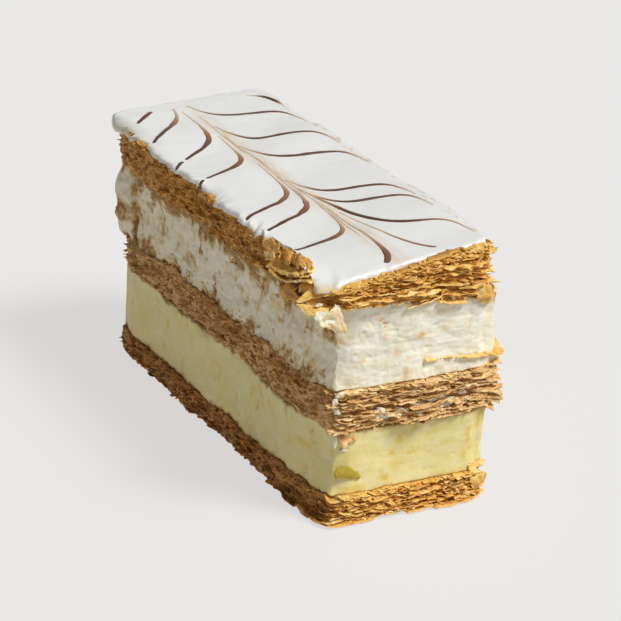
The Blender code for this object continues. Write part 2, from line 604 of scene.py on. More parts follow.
# %% Where pastry is dragged over the cream
# y, z, half length, half height and strength of the patches wiped over the left side
WIPED = (
    (-59, 51, 4.6, 3.6, 0.55), (-60.5, 54, 3, 3, 0.5), (-51, 36.5, 4, 2.2, 0.6), (-40, 37, 6, 1.5, 0.4),
    (5.7, 53.5, 4, 2.5, 0.8), (10.4, 47.6, 0.9, 3, 0.9), (27.3, 53, 4.5, 3, 0.8),
    (47.8, 54, 3, 3.6, 0.7), (38.8, 54.2, 2.5, 3.6, 0.7), (48.3, 45.5, 1.6, 3, 0.5),
    (50.5, 38, 1.2, 8, 0.9), (56, 43, 4, 4, 0.5), (2, 39, 0.7, 4, 0.7), (33, 45, 0.9, 5, 0.4),
    (-18.5, 36.5, 2.5, 1.6, 0.6), (-12, 52, 3.5, 2.6, 0.8), (-20, 53, 3, 3.5, 0.8),
    (42, 36, 5, 2.6, 0.6), (18, 41, 5, 2, 0.3), (-38, 51, 2, 4, 0.8), (-46, 54, 3, 3, 0.7))
# across, z, half width, half height and strength of the golden flecks, on the left and on the front
LEFT_FLECKS = (
    (-31.2, 46.2, 2.6, 2.4, 0.6), (-33.6, 43.8, 2.6, 0.9, 0.9), (-24, 47.5, 0.9, 2.2, 0.6),
    (-52, 39.5, 1.5, 1.6, 0.8), (-47, 43, 1, 1.2, 0.4), (36, 47, 1.4, 4, 0.35), (14, 50, 1.4, 1.6, 0.5),
    (-8, 46, 1.6, 0.9, 0.3), (24, 44, 1.5, 1.2, 0.3))
FRONT_FLECKS = (
    (2.1, 47.2, 1.3, 1.2, 1), (-7.9, 48.5, 0.9, 1.3, 0.5), (-4.4, 43.6, 1.6, 1.1, 0.45),
    (-14.2, 42.7, 1.7, 0.5, 0.6), (-2, 37.7, 0.8, 1.5, 0.7), (15.9, 47.5, 0.4, 2.4, 0.5),
    (-19.8, 48.6, 1.3, 1.2, 0.9), (-17.2, 49.4, 1, 0.7, 0.5), (7, 52.6, 1.4, 0.8, 0.4),
    (-1.5, 41.5, 1.2, 0.7, 0.4), (9, 48, 1.8, 0.6, 0.35), (-8.9, 52.6, 0.9, 0.7, 0.5))


def patch(across, z, spots, shift):
    """A soft spot with a ragged rim at each given place. shift bends the rims, in mm."""
    across = across + shift * layered(across / 1.5, z / 1.5, 0, 58)
    z = z + shift * layered(across / 1.5, z / 1.5, 9, 59)
    return sum(strength * smoothstep(0.02, 0.95, np.exp(-((across - c) / a) ** 2 - ((z - h) / b) ** 2))
               for c, h, a, b, strength in spots)


def cream_smears_and_shade(at):
    """How brown each place is, from drags of the knife: 0 is clean cream and 1 is crushed pastry.
    The long sides also get a faint ochre tint, which is painted shade.
    """
    x, y, z = at.x, at.y, at.z
    lean = y + 0.25 * z
    under = at.high - z  # mm under the top sheet
    over = z - at.low
    hang = 2.2 + 2.8 * layered(x / 3, y / 2.6, 0, 48) + 1.2 * noise(x, y / 1.1, 0, 49)
    hang *= 1 - 0.5 * smoothstep(28, 42, y)
    ledge = 0.1 + 1.1 * layered(x / 3, y / 3.4, 9, 50)
    streaks = layered(x / 2, lean / 2.6, z / 7, 41) + 0.35 * noise(x, lean / 0.9, z / 3, 43)
    clouds = smoothstep(0.1, 0.95, layered(x / 3, y / 3.2, z / 3.0, 44) + 0.5 * np.exp(-under / 4.0))
    side = 0.95 * smoothstep(2.0, -2.0, under - hang) + 0.85 * smoothstep(1.1, -0.9, over - ledge)
    side += 0.32 * smoothstep(0.2, 1.1, streaks + 0.9 * np.exp(-under / 5.0) + 0.5 * np.exp(-over / 3.0))
    # painted shade: the long sides get a faint ochre tint all over, for the yellowish shade that the left
    # side lies in
    side += 0.5 * clouds + 0.12
    long_side = at.left * (side + 1.2 * patch(y, z, WIPED, 1.4)) + 0.8 * at.right * side
    thin = smoothstep(0.5, -0.3, under - 0.25 * hang) + smoothstep(0.5, -0.3, over - 0.3)
    cloud = 0.10 * smoothstep(0.3, 0.9, layered(x / 2.5, y / 2.5, z / 1.5, 47))
    return np.clip(long_side + (at.front + at.back) * (0.5 * thin + cloud), 0, 1.1)


# the smear attribute also carries the painted ochre shade of the long sides
paint(cream.data, "smear", cream_smears_and_shade(at))
paint(cream.data, "fleck", np.clip(at.left * patch(at.y, at.z, LEFT_FLECKS, 0.9)
                                   + at.front * patch(at.x, at.z, FRONT_FLECKS, 0.6), 0, 1))
merge_seams(cream)
print("cream: smears and flecks painted")

# %% [markdown]
# ## Custard
#
# Custard sets firm, so the knife leaves it nearly flat: faint drag marks, a few dimples, and edges
# that bulge a little where the pastry presses on it.

# %% Custard
def custard_relief(at):
    x, y, z = at.x, at.y, at.z
    level = at.front + at.back
    upright = at.left + at.right
    swell = 0.35 * noise(x / 8, y / 8, z / 6, 103)
    level_drags = 0.08 * layered(x / 3, y / 3, z / 0.9, 105)
    upright_drags = 0.12 * layered(x / 1.3, y / 1.3, z / 9, 111)
    dimples = smoothstep(0.55, 0.9, noise(x / 2.2, y / 2.2, z / 1.6, 121))
    fine = 0.04 * layered(x / 0.9, y / 0.9, z / 0.9, 125)
    meeting = (0.2 + 0.5 * at.left) * fillet(at, "custard", 1.2, 1.4)
    bulge = 1.5 * at.right - 1.1 * dome(y, 63, 9) * at.left
    return swell + level_drags * level + upright_drags * upright + fine - 0.15 * dimples + meeting + bulge


custard, at = wrapped_body("custard_cut", "custard", 900, 56, custard_relief, edge=0.5, overlap=0.25)
CUSTARD_FLECKS = (
    (-6.4, 10.3, 1.5, 1, 1), (-7.8, 12.2, 1.2, 0.8, 0.5), (-3.6, 13, 2.2, 1.4, 0.45),
    (1.1, 22.5, 0.9, 1.6, 0.9), (-2.6, 19.7, 1.3, 1, 0.7), (-4.6, 16.2, 1.2, 1.2, 0.7),
    (1.1, 15.6, 1.6, 0.8, 0.6), (12.2, 16.5, 2.6, 0.6, 0.5), (17.4, 17.5, 0.8, 2.6, 1),
    (18.2, 13.6, 0.8, 1.5, 0.7), (20.9, 21.5, 0.7, 3.2, 1), (11, 24.4, 2, 0.8, 0.5),
    (16, 12, 1, 1.6, 0.5), (-15.5, 8.8, 3.5, 0.9, 0.5), (6, 20.5, 3, 1.2, 0.3))


def custard_smears(at):
    """Faint brown drag marks, and a brown rim where pastry touches."""
    x, y, z = at.x, at.y, at.z
    under, over = at.high - z, z - at.low
    hang = 0.7 + 0.9 * layered(x / 3, y / 2.4, 0, 148)
    streaks = layered(x / 2.4, y / 2.4, z / 5, 141)
    rim = 0.8 * smoothstep(0.7, -0.5, under - hang) + 0.7 * smoothstep(0.7, -0.5, over - 0.7 * hang)
    side = rim + 0.35 * smoothstep(0.3, 0.95, streaks + 0.5 * np.exp(-under / 4) + 0.3 * np.exp(-over / 3))
    return np.clip(side * (at.left + at.right) + 0.45 * rim * (at.front + at.back), 0, 1)


LEFT_SPOTS = (
    (29.7, 18.5, 0.8, 0.9, 0.9), (16.8, 23, 1, 1.8, 0.35), (-20.8, 19, 0.9, 2.2, 0.7),
    (-24.6, 16.2, 1, 0.9, 0.9), (-14.6, 9.8, 1, 1.2, 0.5), (-2.6, 16.8, 0.5, 2.4, 0.5),
    (-49.1, 17.1, 5, 1.1, 0.6), (-12, 14, 0.9, 1, 0.5), (36, 23, 1.2, 1.2, 0.5), (4, 21, 1, 1.6, 0.35))
left_spots = patch(at.y, at.z, LEFT_SPOTS, 0.7)
left_spots += 0.3 * smoothstep(0.2, 0.9, layered(at.x / 3.2, at.y / 3.2, at.z / 3.6, 159))
paint(custard.data, "smear", custard_smears(at))
paint(custard.data, "fleck", np.clip(at.front * patch(at.x, at.z, CUSTARD_FLECKS, 0.8)
                                     + (1 - at.front) * left_spots, 0, 0.8))
merge_seams(custard)
print("custard: smears and flecks painted")

# %% [markdown]
# ## Puff pastry
#
# Puff pastry is dozens of leaves as thin as paper, baked apart. Each leaf's edge is a grid rolled
# both ways, round the slice and round the leaf's own thin section, so it closes on itself. Along
# the way the leaf breaks into short pieces that stand in or out, tilt and curl. Air pockets push
# the leaves apart and crowd the ones above and below. Behind the leaves lies a rough heart, painted
# dark for the shade it lies in, which comes forward on the long left side, where the knife crushed
# the leaves to crumbs.

# %% Leaf helpers
LEAF_COLUMNS = 960
LEAF_POINTS = 8  # points round a leaf's section
LEAF_DEPTH = 3.4  # how deep a leaf's ring reaches into the sheet
FLAKY = {"front": 0.85, "right": 1.0, "back": 0.85, "left": 0.35}
CRUSHED = 1.0  # how much further back the leaves end on the left side
FOOTING = 1.5  # how far the base sheet's lowest leaves spread on the table
CORNER_SAG = 1.6  # how much lower the top sheet's front left corner is
# painted shade: how much darker the tone is painted on the long left side, which lies in shade,
# and on the crumbs that stick to it; it stands partly for that shade, partly for a browner crust
IN_SHADE = {"pastry_base": -0.76, "pastry_middle": -0.28, "pastry_top": -0.44, "whipped_cream": -0.35}
SHEETS = ("pastry_base", "pastry_middle", "pastry_top")


def broken(travel, shortest, longest, rng):
    """Breaks a ring in pieces. Gives the number of each place's piece and -1 to 1 along it."""
    ends = np.cumsum(rng.uniform(shortest, longest, int(PERIMETER / shortest) + 2))
    ends = np.append(ends[ends < PERIMETER - shortest], PERIMETER)
    starts = np.concatenate(([0], ends[:-1]))
    piece = np.minimum(np.searchsorted(ends, travel, side="right"), len(ends) - 1)
    along = (travel - starts[piece]) / (ends - starts)[piece] * 2 - 1
    return piece, along, len(ends)


def air_pockets(count, rng, known=()):
    """Lens-shaped gaps: each has a travel, a rise, half a length and an opening, in mm."""
    chance = [(rng.uniform(0, PERIMETER), rng.uniform(0.2, 0.85), rng.uniform(1.5, 5.0),
               rng.uniform(0.3, 0.9)) for _ in range(count)]
    return chance + list(known)


def pushed(travel, rise, thickness, pockets):
    """How far the air pockets push a leaf up or down."""
    total = np.zeros_like(travel)
    for centre, level, half_length, opening in pockets:
        off = np.mod(travel - centre + PERIMETER / 2, PERIMETER) - PERIMETER / 2
        lens = np.clip(1 - (off / half_length) ** 2, 0, 1) ** 1.5
        side = 1 if rise > level else -1
        total += side * opening / 2 * lens * math.exp(-abs(rise - level) * thickness / 2.2)
    return total


# %% One leaf
def leaf(sheet, rng, rise, pitch, gap, pockets):
    """One leaf's edge, rolled round the slice at a rise from 0 to 1 in its sheet."""
    ring, share, turn = flat_grid("leaf", LEAF_COLUMNS, LEAF_POINTS)
    turn = np.mod(turn, 1.0) * 2 * math.pi
    travel = np.mod(share, 1.0) * PERIMETER
    points, normals = outline(share)
    side = facing(normals)
    loose = sum(FLAKY[name] * amount for name, amount in vars(side).items())
    seed = int(rng.integers(1 << 20))

    whole = rng.uniform(0.2, 1.0)  # how long this leaf's pieces are
    large, along_large, count_large = broken(travel, 3.0 + 3 * whole, 8.0 + 14 * whole, rng)
    small, along_small, count_small = broken(travel, 0.9, 2.2 + 3.0 * whole, rng)
    large_out, large_tilt, large_lift, tone = (rng.uniform(-1, 1, count_large)[large] for _ in range(4))
    small_out, small_tilt, small_lift, tint = (rng.uniform(-1, 1, count_small)[small] for _ in range(4))
    thick = pitch * (1 - gap) * (0.75 + 0.4 * rng.uniform(-1, 1, count_large)[large])

    ragged = 0.55 * layered(travel / 5, rise * 40, 0, seed + 5)
    ragged += 0.3 * layered(travel / 1.4, rise * 40, 0, seed)
    stand = loose * (0.6 * large_out - 0.15 + 0.3 * large_tilt * along_large + ragged)
    stand += (0.08 + 0.2 * loose) * (small_out + 0.6 * small_tilt * along_small)
    stand -= 1.3 * loose * (small_out < -0.86) + 0.8 * loose * smoothstep(0.92, 1.0, np.abs(along_large))
    stand -= CRUSHED * side.left
    if sheet.node == "pastry_base":
        low_share = max(0.0, 1 - rise / 0.4)
        stand += FOOTING * low_share * (1 - side.left * smoothstep(-42, -24, points[:, 1]))
        stand += side.left * (0.8 + 1.5 * low_share) * smoothstep(-30, -52, points[:, 1])
        stand += side.front * 2.2 * low_share * dome(points[:, 0], 9, 8)
    depth = LEAF_DEPTH * ((1 - np.cos(turn)) / 2) ** 1.4
    out = sheet.stands_out(share, np.full_like(share, rise)) + stand - depth

    low, high = edges(sheet.node, share)
    height = low + (high - low) * rise + pushed(travel, rise, np.mean(high - low), pockets)
    wave = 0.7 * noise(travel / 8, rise * 3, 0, seed + 1) + 0.4 * noise(travel / 2.2, depth / 2, 0, seed + 2)
    lift = pitch * (wave + 0.5 * large_lift * along_large + 0.25 * small_lift)
    curl = (0.6 * large_lift + 0.25 * small_lift) * np.clip(stand + 0.5 - depth, 0, 2)
    body = thick / 2 * np.sign(np.sin(turn)) * np.abs(np.sin(turn)) ** 0.5
    rough = 0.06 * noise(travel / 0.45, depth / 0.35, height / 0.3, seed + 3)
    roof = high + 0.3 - CORNER_SAG * (sheet.node == "pastry_top") * front_left(side)
    z = np.clip(height + lift + curl, low + 0.12 + thick / 2, roof - thick / 2) + body + rough
    write_points(ring.data, np.column_stack([points + normals * out[:, None], z]))
    # painted light: each leaf's upper face is painted paler and its lower face darker, as lit from above; the
    # rest is the leaf's own tone, which differs at random
    pale = 0.55 + 0.28 * tone + 0.2 * tint + 0.12 * np.sign(np.sin(turn))
    # painted shade: on the long left side the tone is lowered by IN_SHADE
    paint(ring.data, "tone", pale + IN_SHADE[sheet.node] * side.left)
    # painted shade: the deeper into the sheet a point of the leaf lies, the darker its colour is painted, for
    # the shade between the leaves
    paint(ring.data, "depth", np.clip(depth - 0.25, 0, 1.6) / 1.6)
    return ring


# %% A whole sheet of leaves
def pastry_leaves(node, bundles, seed, gap, pockets=()):
    """All the leaves of a sheet. Each bundle has the rises it starts and ends at and its leaves."""
    rng = np.random.default_rng(seed)
    sheet = layers[node]
    thickness = float(np.mean(sheet.tops - sheet.bottoms))
    pockets = air_pockets(46, rng, pockets)
    rings = []
    for start, end, count in bundles:
        pitch = thickness * (end - start) / count
        for index in range(count):
            rise = start + (end - start) * (index + 0.5) / count
            rings.append(leaf(sheet, rng, rise, pitch, gap, pockets))
    leaves = join(rings, node + "_leaves")
    merge_seams(leaves)
    bpy.ops.object.shade_smooth_by_angle(angle=math.radians(50))
    print(f"{leaves.name}: {len(rings)} leaves, {len(leaves.data.polygons)} faces")
    return leaves


def on_front(x):
    return share_near(x, outline_middle[1] - outline_half[1]) * PERIMETER


base_leaves = pastry_leaves("pastry_base", ((0.0, 1.0, 12),), 11, 0.14)
middle_leaves = pastry_leaves("pastry_middle", ((0.0, 0.44, 5), (0.55, 1.0, 6)), 12, 0.12, (
    (on_front(-14), 0.5, 9.0, 0.8), (on_front(2), 0.5, 8.0, 0.7), (on_front(14), 0.48, 9.0, 1.1)))
top_leaves = pastry_leaves("pastry_top", ((0.0, 0.40, 5), (0.46, 1.0, 8)), 13, 0.16, (
    (on_front(-12), 0.42, 6.0, 1.6), (on_front(-3), 0.56, 5.0, 1.0), (on_front(9.5), 0.34, 5.0, 3.0)))

# %% Hearts of the sheets
def heart_relief(at):
    x, y, z = at.x, at.y, at.z
    forward = 1.55 * at.left + 0.35 * (1 - at.left)
    plates = 0.35 * layered(x / 1.6, y / 1.6, z / 0.45, 61)
    lumps = 0.45 * layered(x / 2.6, y / 2.6, z / 2.2, 62)
    crumbs = 0.3 * ridged(noise(x / 0.9, y / 0.9, z / 0.8, 63)) + 0.2 * layered(x / 0.5, y / 0.5, z / 0.5, 64)
    holes = smoothstep(0.35, 0.7, noise(x / 1.3, y / 1.3, z / 1.0, 65))
    rubbed = at.left * (lumps + crumbs - 0.8 * holes)
    rubbed -= 1.8 * front_left(at) * smoothstep(2.4, 0.4, at.high - z)
    return forward - 1.6 + (1 - 0.6 * at.left) * plates + rubbed + 0.2 * noise(x / 4, y / 4, z / 0.8, 67)


def pastry_heart(node):
    heart, at = wrapped_body(node + "_heart", node, 900, 54, heart_relief, edge=0.3)
    x, y, z = at.x, at.y, at.z
    tone = 0.42 + 0.3 * layered(x / 1.5, y / 1.5, z / 0.5, 71)
    # painted shade: on the long left side the heart's tone is lowered by IN_SHADE, partly for the shade there
    # and partly for a browner, rubbed crust
    rubbed = 0.60 + 0.35 * layered(x / 3, y / 3, z / 2, 72) + IN_SHADE[node]
    paint(heart.data, "tone", tone * (1 - at.left) + rubbed * at.left)
    relief = heart_relief(at)
    # painted shade: the heart lies behind the leaves and is painted darker for the shade it lies in, less
    # where it stands forward on the left side
    paint(heart.data, "depth", 0.8 - at.left * np.clip(0.6 + 0.45 * relief, 0, 0.8))
    merge_seams(heart)
    return heart


hearts = {node: pastry_heart(node) for node in SHEETS}

# %% [markdown]
# ## Icing
#
# The icing was poured, so its top is smooth and glossy, thinner than the pastry under it, and its
# rim is soft. The knife notched it along the long left side, pastry broke through it near the
# front, and its shoulders sag where it ran over. A flat grid keeps the top free of pinched faces.
# Its border is pulled out to the sheet's edge and bent down, then extruded to the pastry and
# closed underneath towards the middle. Rays cast from above tell later steps where its top lies.

# %% Icing shape
ICING_THICKNESS = 1.1
ICING_RIM = 1.2  # radius of the soft rim
# how far the icing runs down past its own thickness: along y on the left side, along x on the front
LEFT_RUNS = (
    (-66, 2.2), (-60, 2.2), (-57, 0.2), (-38, 0), (-28, 0.1), (-26, 2), (-24, 0.9), (-20, 0.2),
    (-9, 0.6), (-3, 2.3), (2, 2), (6, 0.5), (8, 0), (16, 0.6), (26, 0.3), (31, 1), (34, 1.5), (37, 0.3),
    (44, 1.4), (49, 2.6), (56, 3.2), (66, 3.6))
FRONT_RUNS = (
    (-24, 1.8), (-21, 0.9), (-17, 0.1), (-13, 0.3), (-8, 0.7), (-4, 0.2), (0, 0), (8, 0.3), (14, 0),
    (24, 0.2))
# how far the icing's edge is cut back along the left side, as y and mm
LEFT_BITES = (
    (-61, 0), (-57.5, 2.6), (-50, 3), (-42, 2.5), (-35, 1.8), (-30.5, 0.2), (-28.5, 1.3), (-26.5, 0),
    (58.5, 0), (60.5, 1), (62, 0.2))
BITE_WIDTH = 1.5  # mm over which the small notches fade inwards
POUR_WIDTH = 7.0  # mm over which the broad run of the edge does
ICING_COLUMNS, ICING_ROWS = 150, 380
SHOULDER = 0.65  # the share of a run that the top itself bends down
icing_top = layers["icing"].top


def icing_level(x, y):
    """The icing's top with the faint waves of the poured surface."""
    return icing_top(x, y) + 0.16 * noise(x / 13, y / 13, 0, 201) + 0.05 * noise(x / 4, y / 4, 0, 203)


def icing_edge(x, y, side):
    """How far the icing's edge is cut back or runs out: broad, and in small notches."""
    bites = -np.interp(y, *np.array(LEFT_BITES).T)
    pour = 0.55 * noise(x / 5, y / 5, 0, 215)
    notches = 0.5 * noise(x / 1.8, y / 1.8, 0, 211) + 0.12 * noise(x / 0.8, y / 0.8, 0, 213)
    left = side.left
    broad = left * (0.6 + 0.5 * noise(y / 4, 0, 0, 216)) + (1 - left) * (pour - 0.3 - 0.2 * side.front)
    return broad, left * (bites + notches) + (1 - left) * 0.5 * notches


def runs_down(x, y, side):
    """How much further down the icing hangs at its border, in mm."""
    left, front = (np.interp(c, *np.array(runs).T) for c, runs in ((y, LEFT_RUNS), (x, FRONT_RUNS)))
    drips = 0.35 * noise(x / 1.6, y / 1.6, 0, 221) + 0.12 * noise(x / 0.8, y / 0.8, 0, 223)
    return np.clip(side.left * left + side.front * front + drips * (0.4 + 0.6 * side.left), -0.2, 5)


def border_share(a, b):
    """The share of the outline at a place on the border of a square from -1 to 1."""
    width, length = 2 * outline_half
    right = np.where(b >= 0, length / 2 * b, 2 * width + 2 * length + length / 2 * b)
    travel = np.select([a >= 1, b >= 1, a <= -1], [
        right, length / 2 + width / 2 * (1 - a), length / 2 + width + length / 2 * (1 - b)],
        1.5 * length + width + width / 2 * (1 + a))
    return travel / (2 * width + 2 * length)


def icing_sheet():
    sheet, u, v = flat_grid("icing_poured", ICING_COLUMNS, ICING_ROWS)
    u, v = (np.sign(c) * (1 - (1 - np.abs(c)) ** 1.25) for c in (u * 2 - 1, v * 2 - 1))
    ring = np.maximum(np.maximum(np.abs(u), np.abs(v)), 1e-9)
    share = border_share(np.round(u / ring, 9), np.round(v / ring, 9))
    points, normals = outline(share)
    side = facing(normals)
    inside = np.minimum((1 - np.abs(u)) * outline_half[0], (1 - np.abs(v)) * outline_half[1])
    broad, notches = icing_edge(*points.T, side)
    reach = layers["icing"].stands_out(share, np.full_like(share, 0.5)) + broad
    pull = reach * (1 - smoothstep(0, POUR_WIDTH, inside)) + notches * (1 - smoothstep(0, BITE_WIDTH, inside))
    flat = outline_middle + (points - outline_middle) * ring[:, None] + normals * pull[:, None]
    drop = ICING_RIM - np.sqrt(ICING_RIM ** 2 - np.clip(ICING_RIM - inside, 0, ICING_RIM) ** 2)
    shoulder = SHOULDER * runs_down(*points.T, side) * smoothstep(3.2, -0.6, inside)
    write_points(sheet.data, np.column_stack([flat, icing_level(*flat.T) - 0.8 * drop - shoulder]))
    return sheet


# where each ring of the underside lies: the share of the way in, and of the way down the running rim
UNDERSIDE = ((-0.006, 0.4), (-0.004, 0.8), (0.012, 1.0), (0.07, 0.0), (0.35, 0.0), (0.7, 0.0), (0.995, 0.0))


def close_underneath(sheet):
    """Extrudes the border down to the pastry, then inwards to the middle line."""
    bpy.ops.object.mode_set(mode="EDIT")
    bpy.ops.mesh.select_mode(type="EDGE")
    bpy.ops.mesh.select_all(action="DESELECT")
    bpy.ops.mesh.select_non_manifold()
    border = None
    for share_in, down in UNDERSIDE:
        bpy.ops.mesh.extrude_region_move()
        bpy.ops.object.mode_set(mode="OBJECT")
        points = read_points(sheet.data) / MM
        chosen = np.array([vertex.select for vertex in sheet.data.vertices])
        if border is None:
            border = points[chosen][:, :2]
            off = (border - outline_middle) / outline_half
            normals = np.where(np.abs(off) > np.abs(off[:, ::-1]), np.sign(off), 0.0)
            run = runs_down(*border.T, facing(normals))
            level = points[chosen][:, 2]
        x = outline_middle[0] + (border[:, 0] - outline_middle[0]) * (1 - share_in)
        y = border[:, 1] * (1 - 0.3 * share_in)
        hanging = np.minimum(level - 0.25, icing_top(x, y) - ICING_THICKNESS - run * down)
        points[chosen] = np.column_stack([x, y, hanging if down else icing_top(x, y) - ICING_THICKNESS - 0.1])
        write_points(sheet.data, points)
        bpy.ops.object.mode_set(mode="EDIT")
    bpy.ops.object.mode_set(mode="OBJECT")
    merge_seams(sheet, 1e-6)
    x, y, z = (read_points(sheet.data) / MM).T
    at_corner = smoothstep(-17, -22, x) * smoothstep(-58, -62, y)
    paint(sheet.data, "thin", np.clip((icing_top(x, y) - z - 0.6) / 1.2, 0, 1) * (1 + at_corner))


# %% Pour it
icing = icing_sheet()
close_underneath(icing)
bpy.ops.object.shade_smooth()
icing_rays = ray_target(icing.data, read_points(icing.data) / MM)
OVERHEAD = 100  # mm: the height where rays at the icing start


def icing_surface(x, y):
    """The height of the poured icing under each place, found with a ray from above."""
    hits = [icing_rays.ray_cast(Vector((a, b, OVERHEAD)), Vector((0, 0, -1)))[0] for a, b in zip(x, y)]
    return np.array([np.nan if hit is None else hit.z for hit in hits])


print("icing_poured:", len(icing.data.polygons), "faces")

# %% [markdown]
# ## Feathered lines
#
# Brown lines were piped across the wet icing, and a knife tip was drawn through them: away from the
# viewer along a spine left of the middle, and back along the right edge. Each line is pulled to a
# point there and fades to a pale thread. Curves say where each line runs, and a thin domed ribbon
# is rolled along each, fused into the icing. A number kept on it says how dark it is.

# %% Where the lines run
SPINE = -3.95
LEFT_MARK = -15.35  # where a line's height on its left half is given
RIBBON_STEP = 0.35  # mm between the points of a line
# each line's left half: height, slope, start, where it turns away, how sharply, and a gap in it
LEFT_FEATHERS = (
    (57.5, 0.85, -21.35, -3.95, 14, None), (45, 0.8, -23.15, -6.4, 10, None),
    (26.9, 0.55, -25, -5.6, 14, -20.85), (11, 0.29, -25.9, -4.9, 12, -22.05),
    (-15.3, 0.35, -24.6, -4.5, 14, None), (-25.2, 0.33, -23, -4, 14, None),
    (-41, 0.1, -22.2, -3.95, 10, None))
# and its right half: height, sweep from the spine, its reach, and where it is pulled towards the viewer
RIGHT_FEATHERS = (
    (59.8, 16, 2.9, 22.6), (46.2, 17, 2.9, 22.4), (26.9, 17, 2.9, 22.2), (11.6, 17, 2.9, 22.3),
    (-15, 17, 2.9, 21.2), (-24, 17, 2.9, 21.1), (-43.6, 40, 4.2, 21.7))


def left_half(height, slope, start, turn, force):
    """A line from the left edge to the spine, where it turns away and runs out to a thread."""
    x = turn - np.concatenate((np.linspace(turn - start, 4, 60), np.geomspace(4, 0.55, 60)[1:]))
    away = turn - x
    y = height + slope * (x - LEFT_MARK) + force * np.clip(1 / away - 1 / 8, 0, None)
    droop = 9 * np.clip(1 / (x + 27.85) - 1 / 13, 0, None)
    return np.column_stack([x, y - droop])


def right_half(height, sweep, reach, drag, end=None):
    """A line from the spine to the right edge, where it is pulled towards the viewer."""
    end = drag - 1.0 if end is None else end
    x = np.concatenate((SPINE + np.geomspace(0.5, 12, 70), np.linspace(SPINE + 12, end, 60)[1:]))
    near = np.clip(drag - x, 0.5, None)
    pulled = 14 * np.clip(1 / near - 1 / 13, 0, None)
    return np.column_stack([x, height + sweep * np.exp(-(x - SPINE) / reach) - pulled])


def resample(path):
    """The same path with points an even step apart."""
    travel = np.concatenate(([0], np.cumsum(np.linalg.norm(np.diff(path, axis=0), axis=1))))
    even = np.linspace(0, travel[-1], max(int(travel[-1] / RIBBON_STEP), 4))
    return along_path(even, travel, path)


# %% Ribbons along the lines
RIBBON_HEIGHT = 0.11  # mm


def ribbon(path, width, strength):
    """A thin domed ribbon on the icing. Width in mm and strength are given along the path."""
    path = resample(path)
    band, along, turn = flat_grid("line", len(path) - 1, 6)
    place = along * (len(path) - 1)
    index = np.arange(len(path))
    step = np.gradient(path, axis=0)
    step /= np.linalg.norm(step, axis=1, keepdims=True)
    middle, across = along_path(place, index, path), along_path(place, index, step[:, ::-1]) * (1, -1)
    length = len(path) * RIBBON_STEP
    tip = np.clip(np.minimum(along, 1 - along) * length / 0.5, 0, 1) ** 0.5
    half = np.interp(along, np.linspace(0, 1, len(width)), width) / 2 * tip
    wobble = 1 + 0.18 * noise(place / 6, path[0, 0], path[0, 1], 231)
    angle = turn * 2 * math.pi
    points = middle + across * (half * wobble * np.cos(angle))[:, None]
    rise = RIBBON_HEIGHT * tip * np.sin(angle)
    ground = icing_surface(*points.T)
    ground = np.where(np.isnan(ground), np.nanmin(ground), ground)
    write_points(band.data, np.column_stack([points, ground + rise]))
    paint(band.data, "strength", np.interp(along, np.linspace(0, 1, len(strength)), strength))
    return band


def inside_icing(path):
    """Leaves out what would hang over the icing's edge."""
    return path[(path < outline_middle + outline_half + (0.3, -0.6)).all(axis=1)]


def feather(on_left, on_right):
    gap = on_left[-1]
    left = inside_icing(left_half(*on_left[:-1]))
    right = inside_icing(right_half(*on_right))
    bands = [ribbon(right, (0.5, 0.65, 0.95, 1.35, 1.6, 1.6, 1.45, 1.0, 0.6, 0.35),
                    (0.05, 0.2, 0.55, 0.9, 1, 1, 0.95, 0.6, 0.25, 0.08))]
    if gap is not None:
        bands.append(ribbon(left[left[:, 0] < gap - 0.3], (1.1, 1.1), (1, 1)))
        left = left[left[:, 0] > gap + 0.3]
    reaches_back = left[-1, 1] > outline_middle[1] + outline_half[1] - 2
    if reaches_back and left[-1, 0] < -8.2:
        bands.append(ribbon(left, (1.1, 1.2, 1.3), (1, 0.95, 0.75)))
    elif reaches_back:
        bands.append(ribbon(left, (1.0, 1.2, 1.5, 1.55, 0.9, 0.5), (1, 1, 0.85, 0.6, 0.3, 0.1)))
    else:
        bands.append(ribbon(left, (1.0, 1.15, 1.35, 1.75, 1.45, 0.85, 0.5, 0.4, 0.25),
                            (1, 1, 0.95, 0.75, 0.55, 0.3, 0.15, 0.08, 0.0)))
    return bands


lines = [band for halves in zip(LEFT_FEATHERS, RIGHT_FEATHERS) for band in feather(*halves)]
HOOK = np.array((
    (-6.9, -60.2), (-5.9, -59), (-4.7, -56.9), (-4, -54.6), (-3.7, -52.5), (-3.4, -49), (-3.3, -45.8),
    (-3.4, -42), (-3.5, -38.5), (-3.6, -31.7), (-3.75, -24)))
lines.append(ribbon(HOOK, (1.5, 1.7, 1.0, 0.6, 0.5, 0.4, 0.3, 0.25),
                    (0.8, 0.75, 0.5, 0.35, 0.3, 0.25, 0.15, 0.0)))
lines.append(ribbon(right_half(-62.4, 55, 4.4, 40, end=7.4)[30:70], (0.3, 0.4, 0.6, 0.9, 0.9),
                    (0.0, 0.1, 0.25, 0.5, 0.7)))
lines.append(ribbon(np.array(((-24.9, 47.4), (-24.0, 48.5))), (1.3, 1.3), (0.9, 0.9)))
lines.append(ribbon(np.array(((-22.2, -43.0), (-21.9, -41.8))), (0.9, 0.9), (1, 1)))
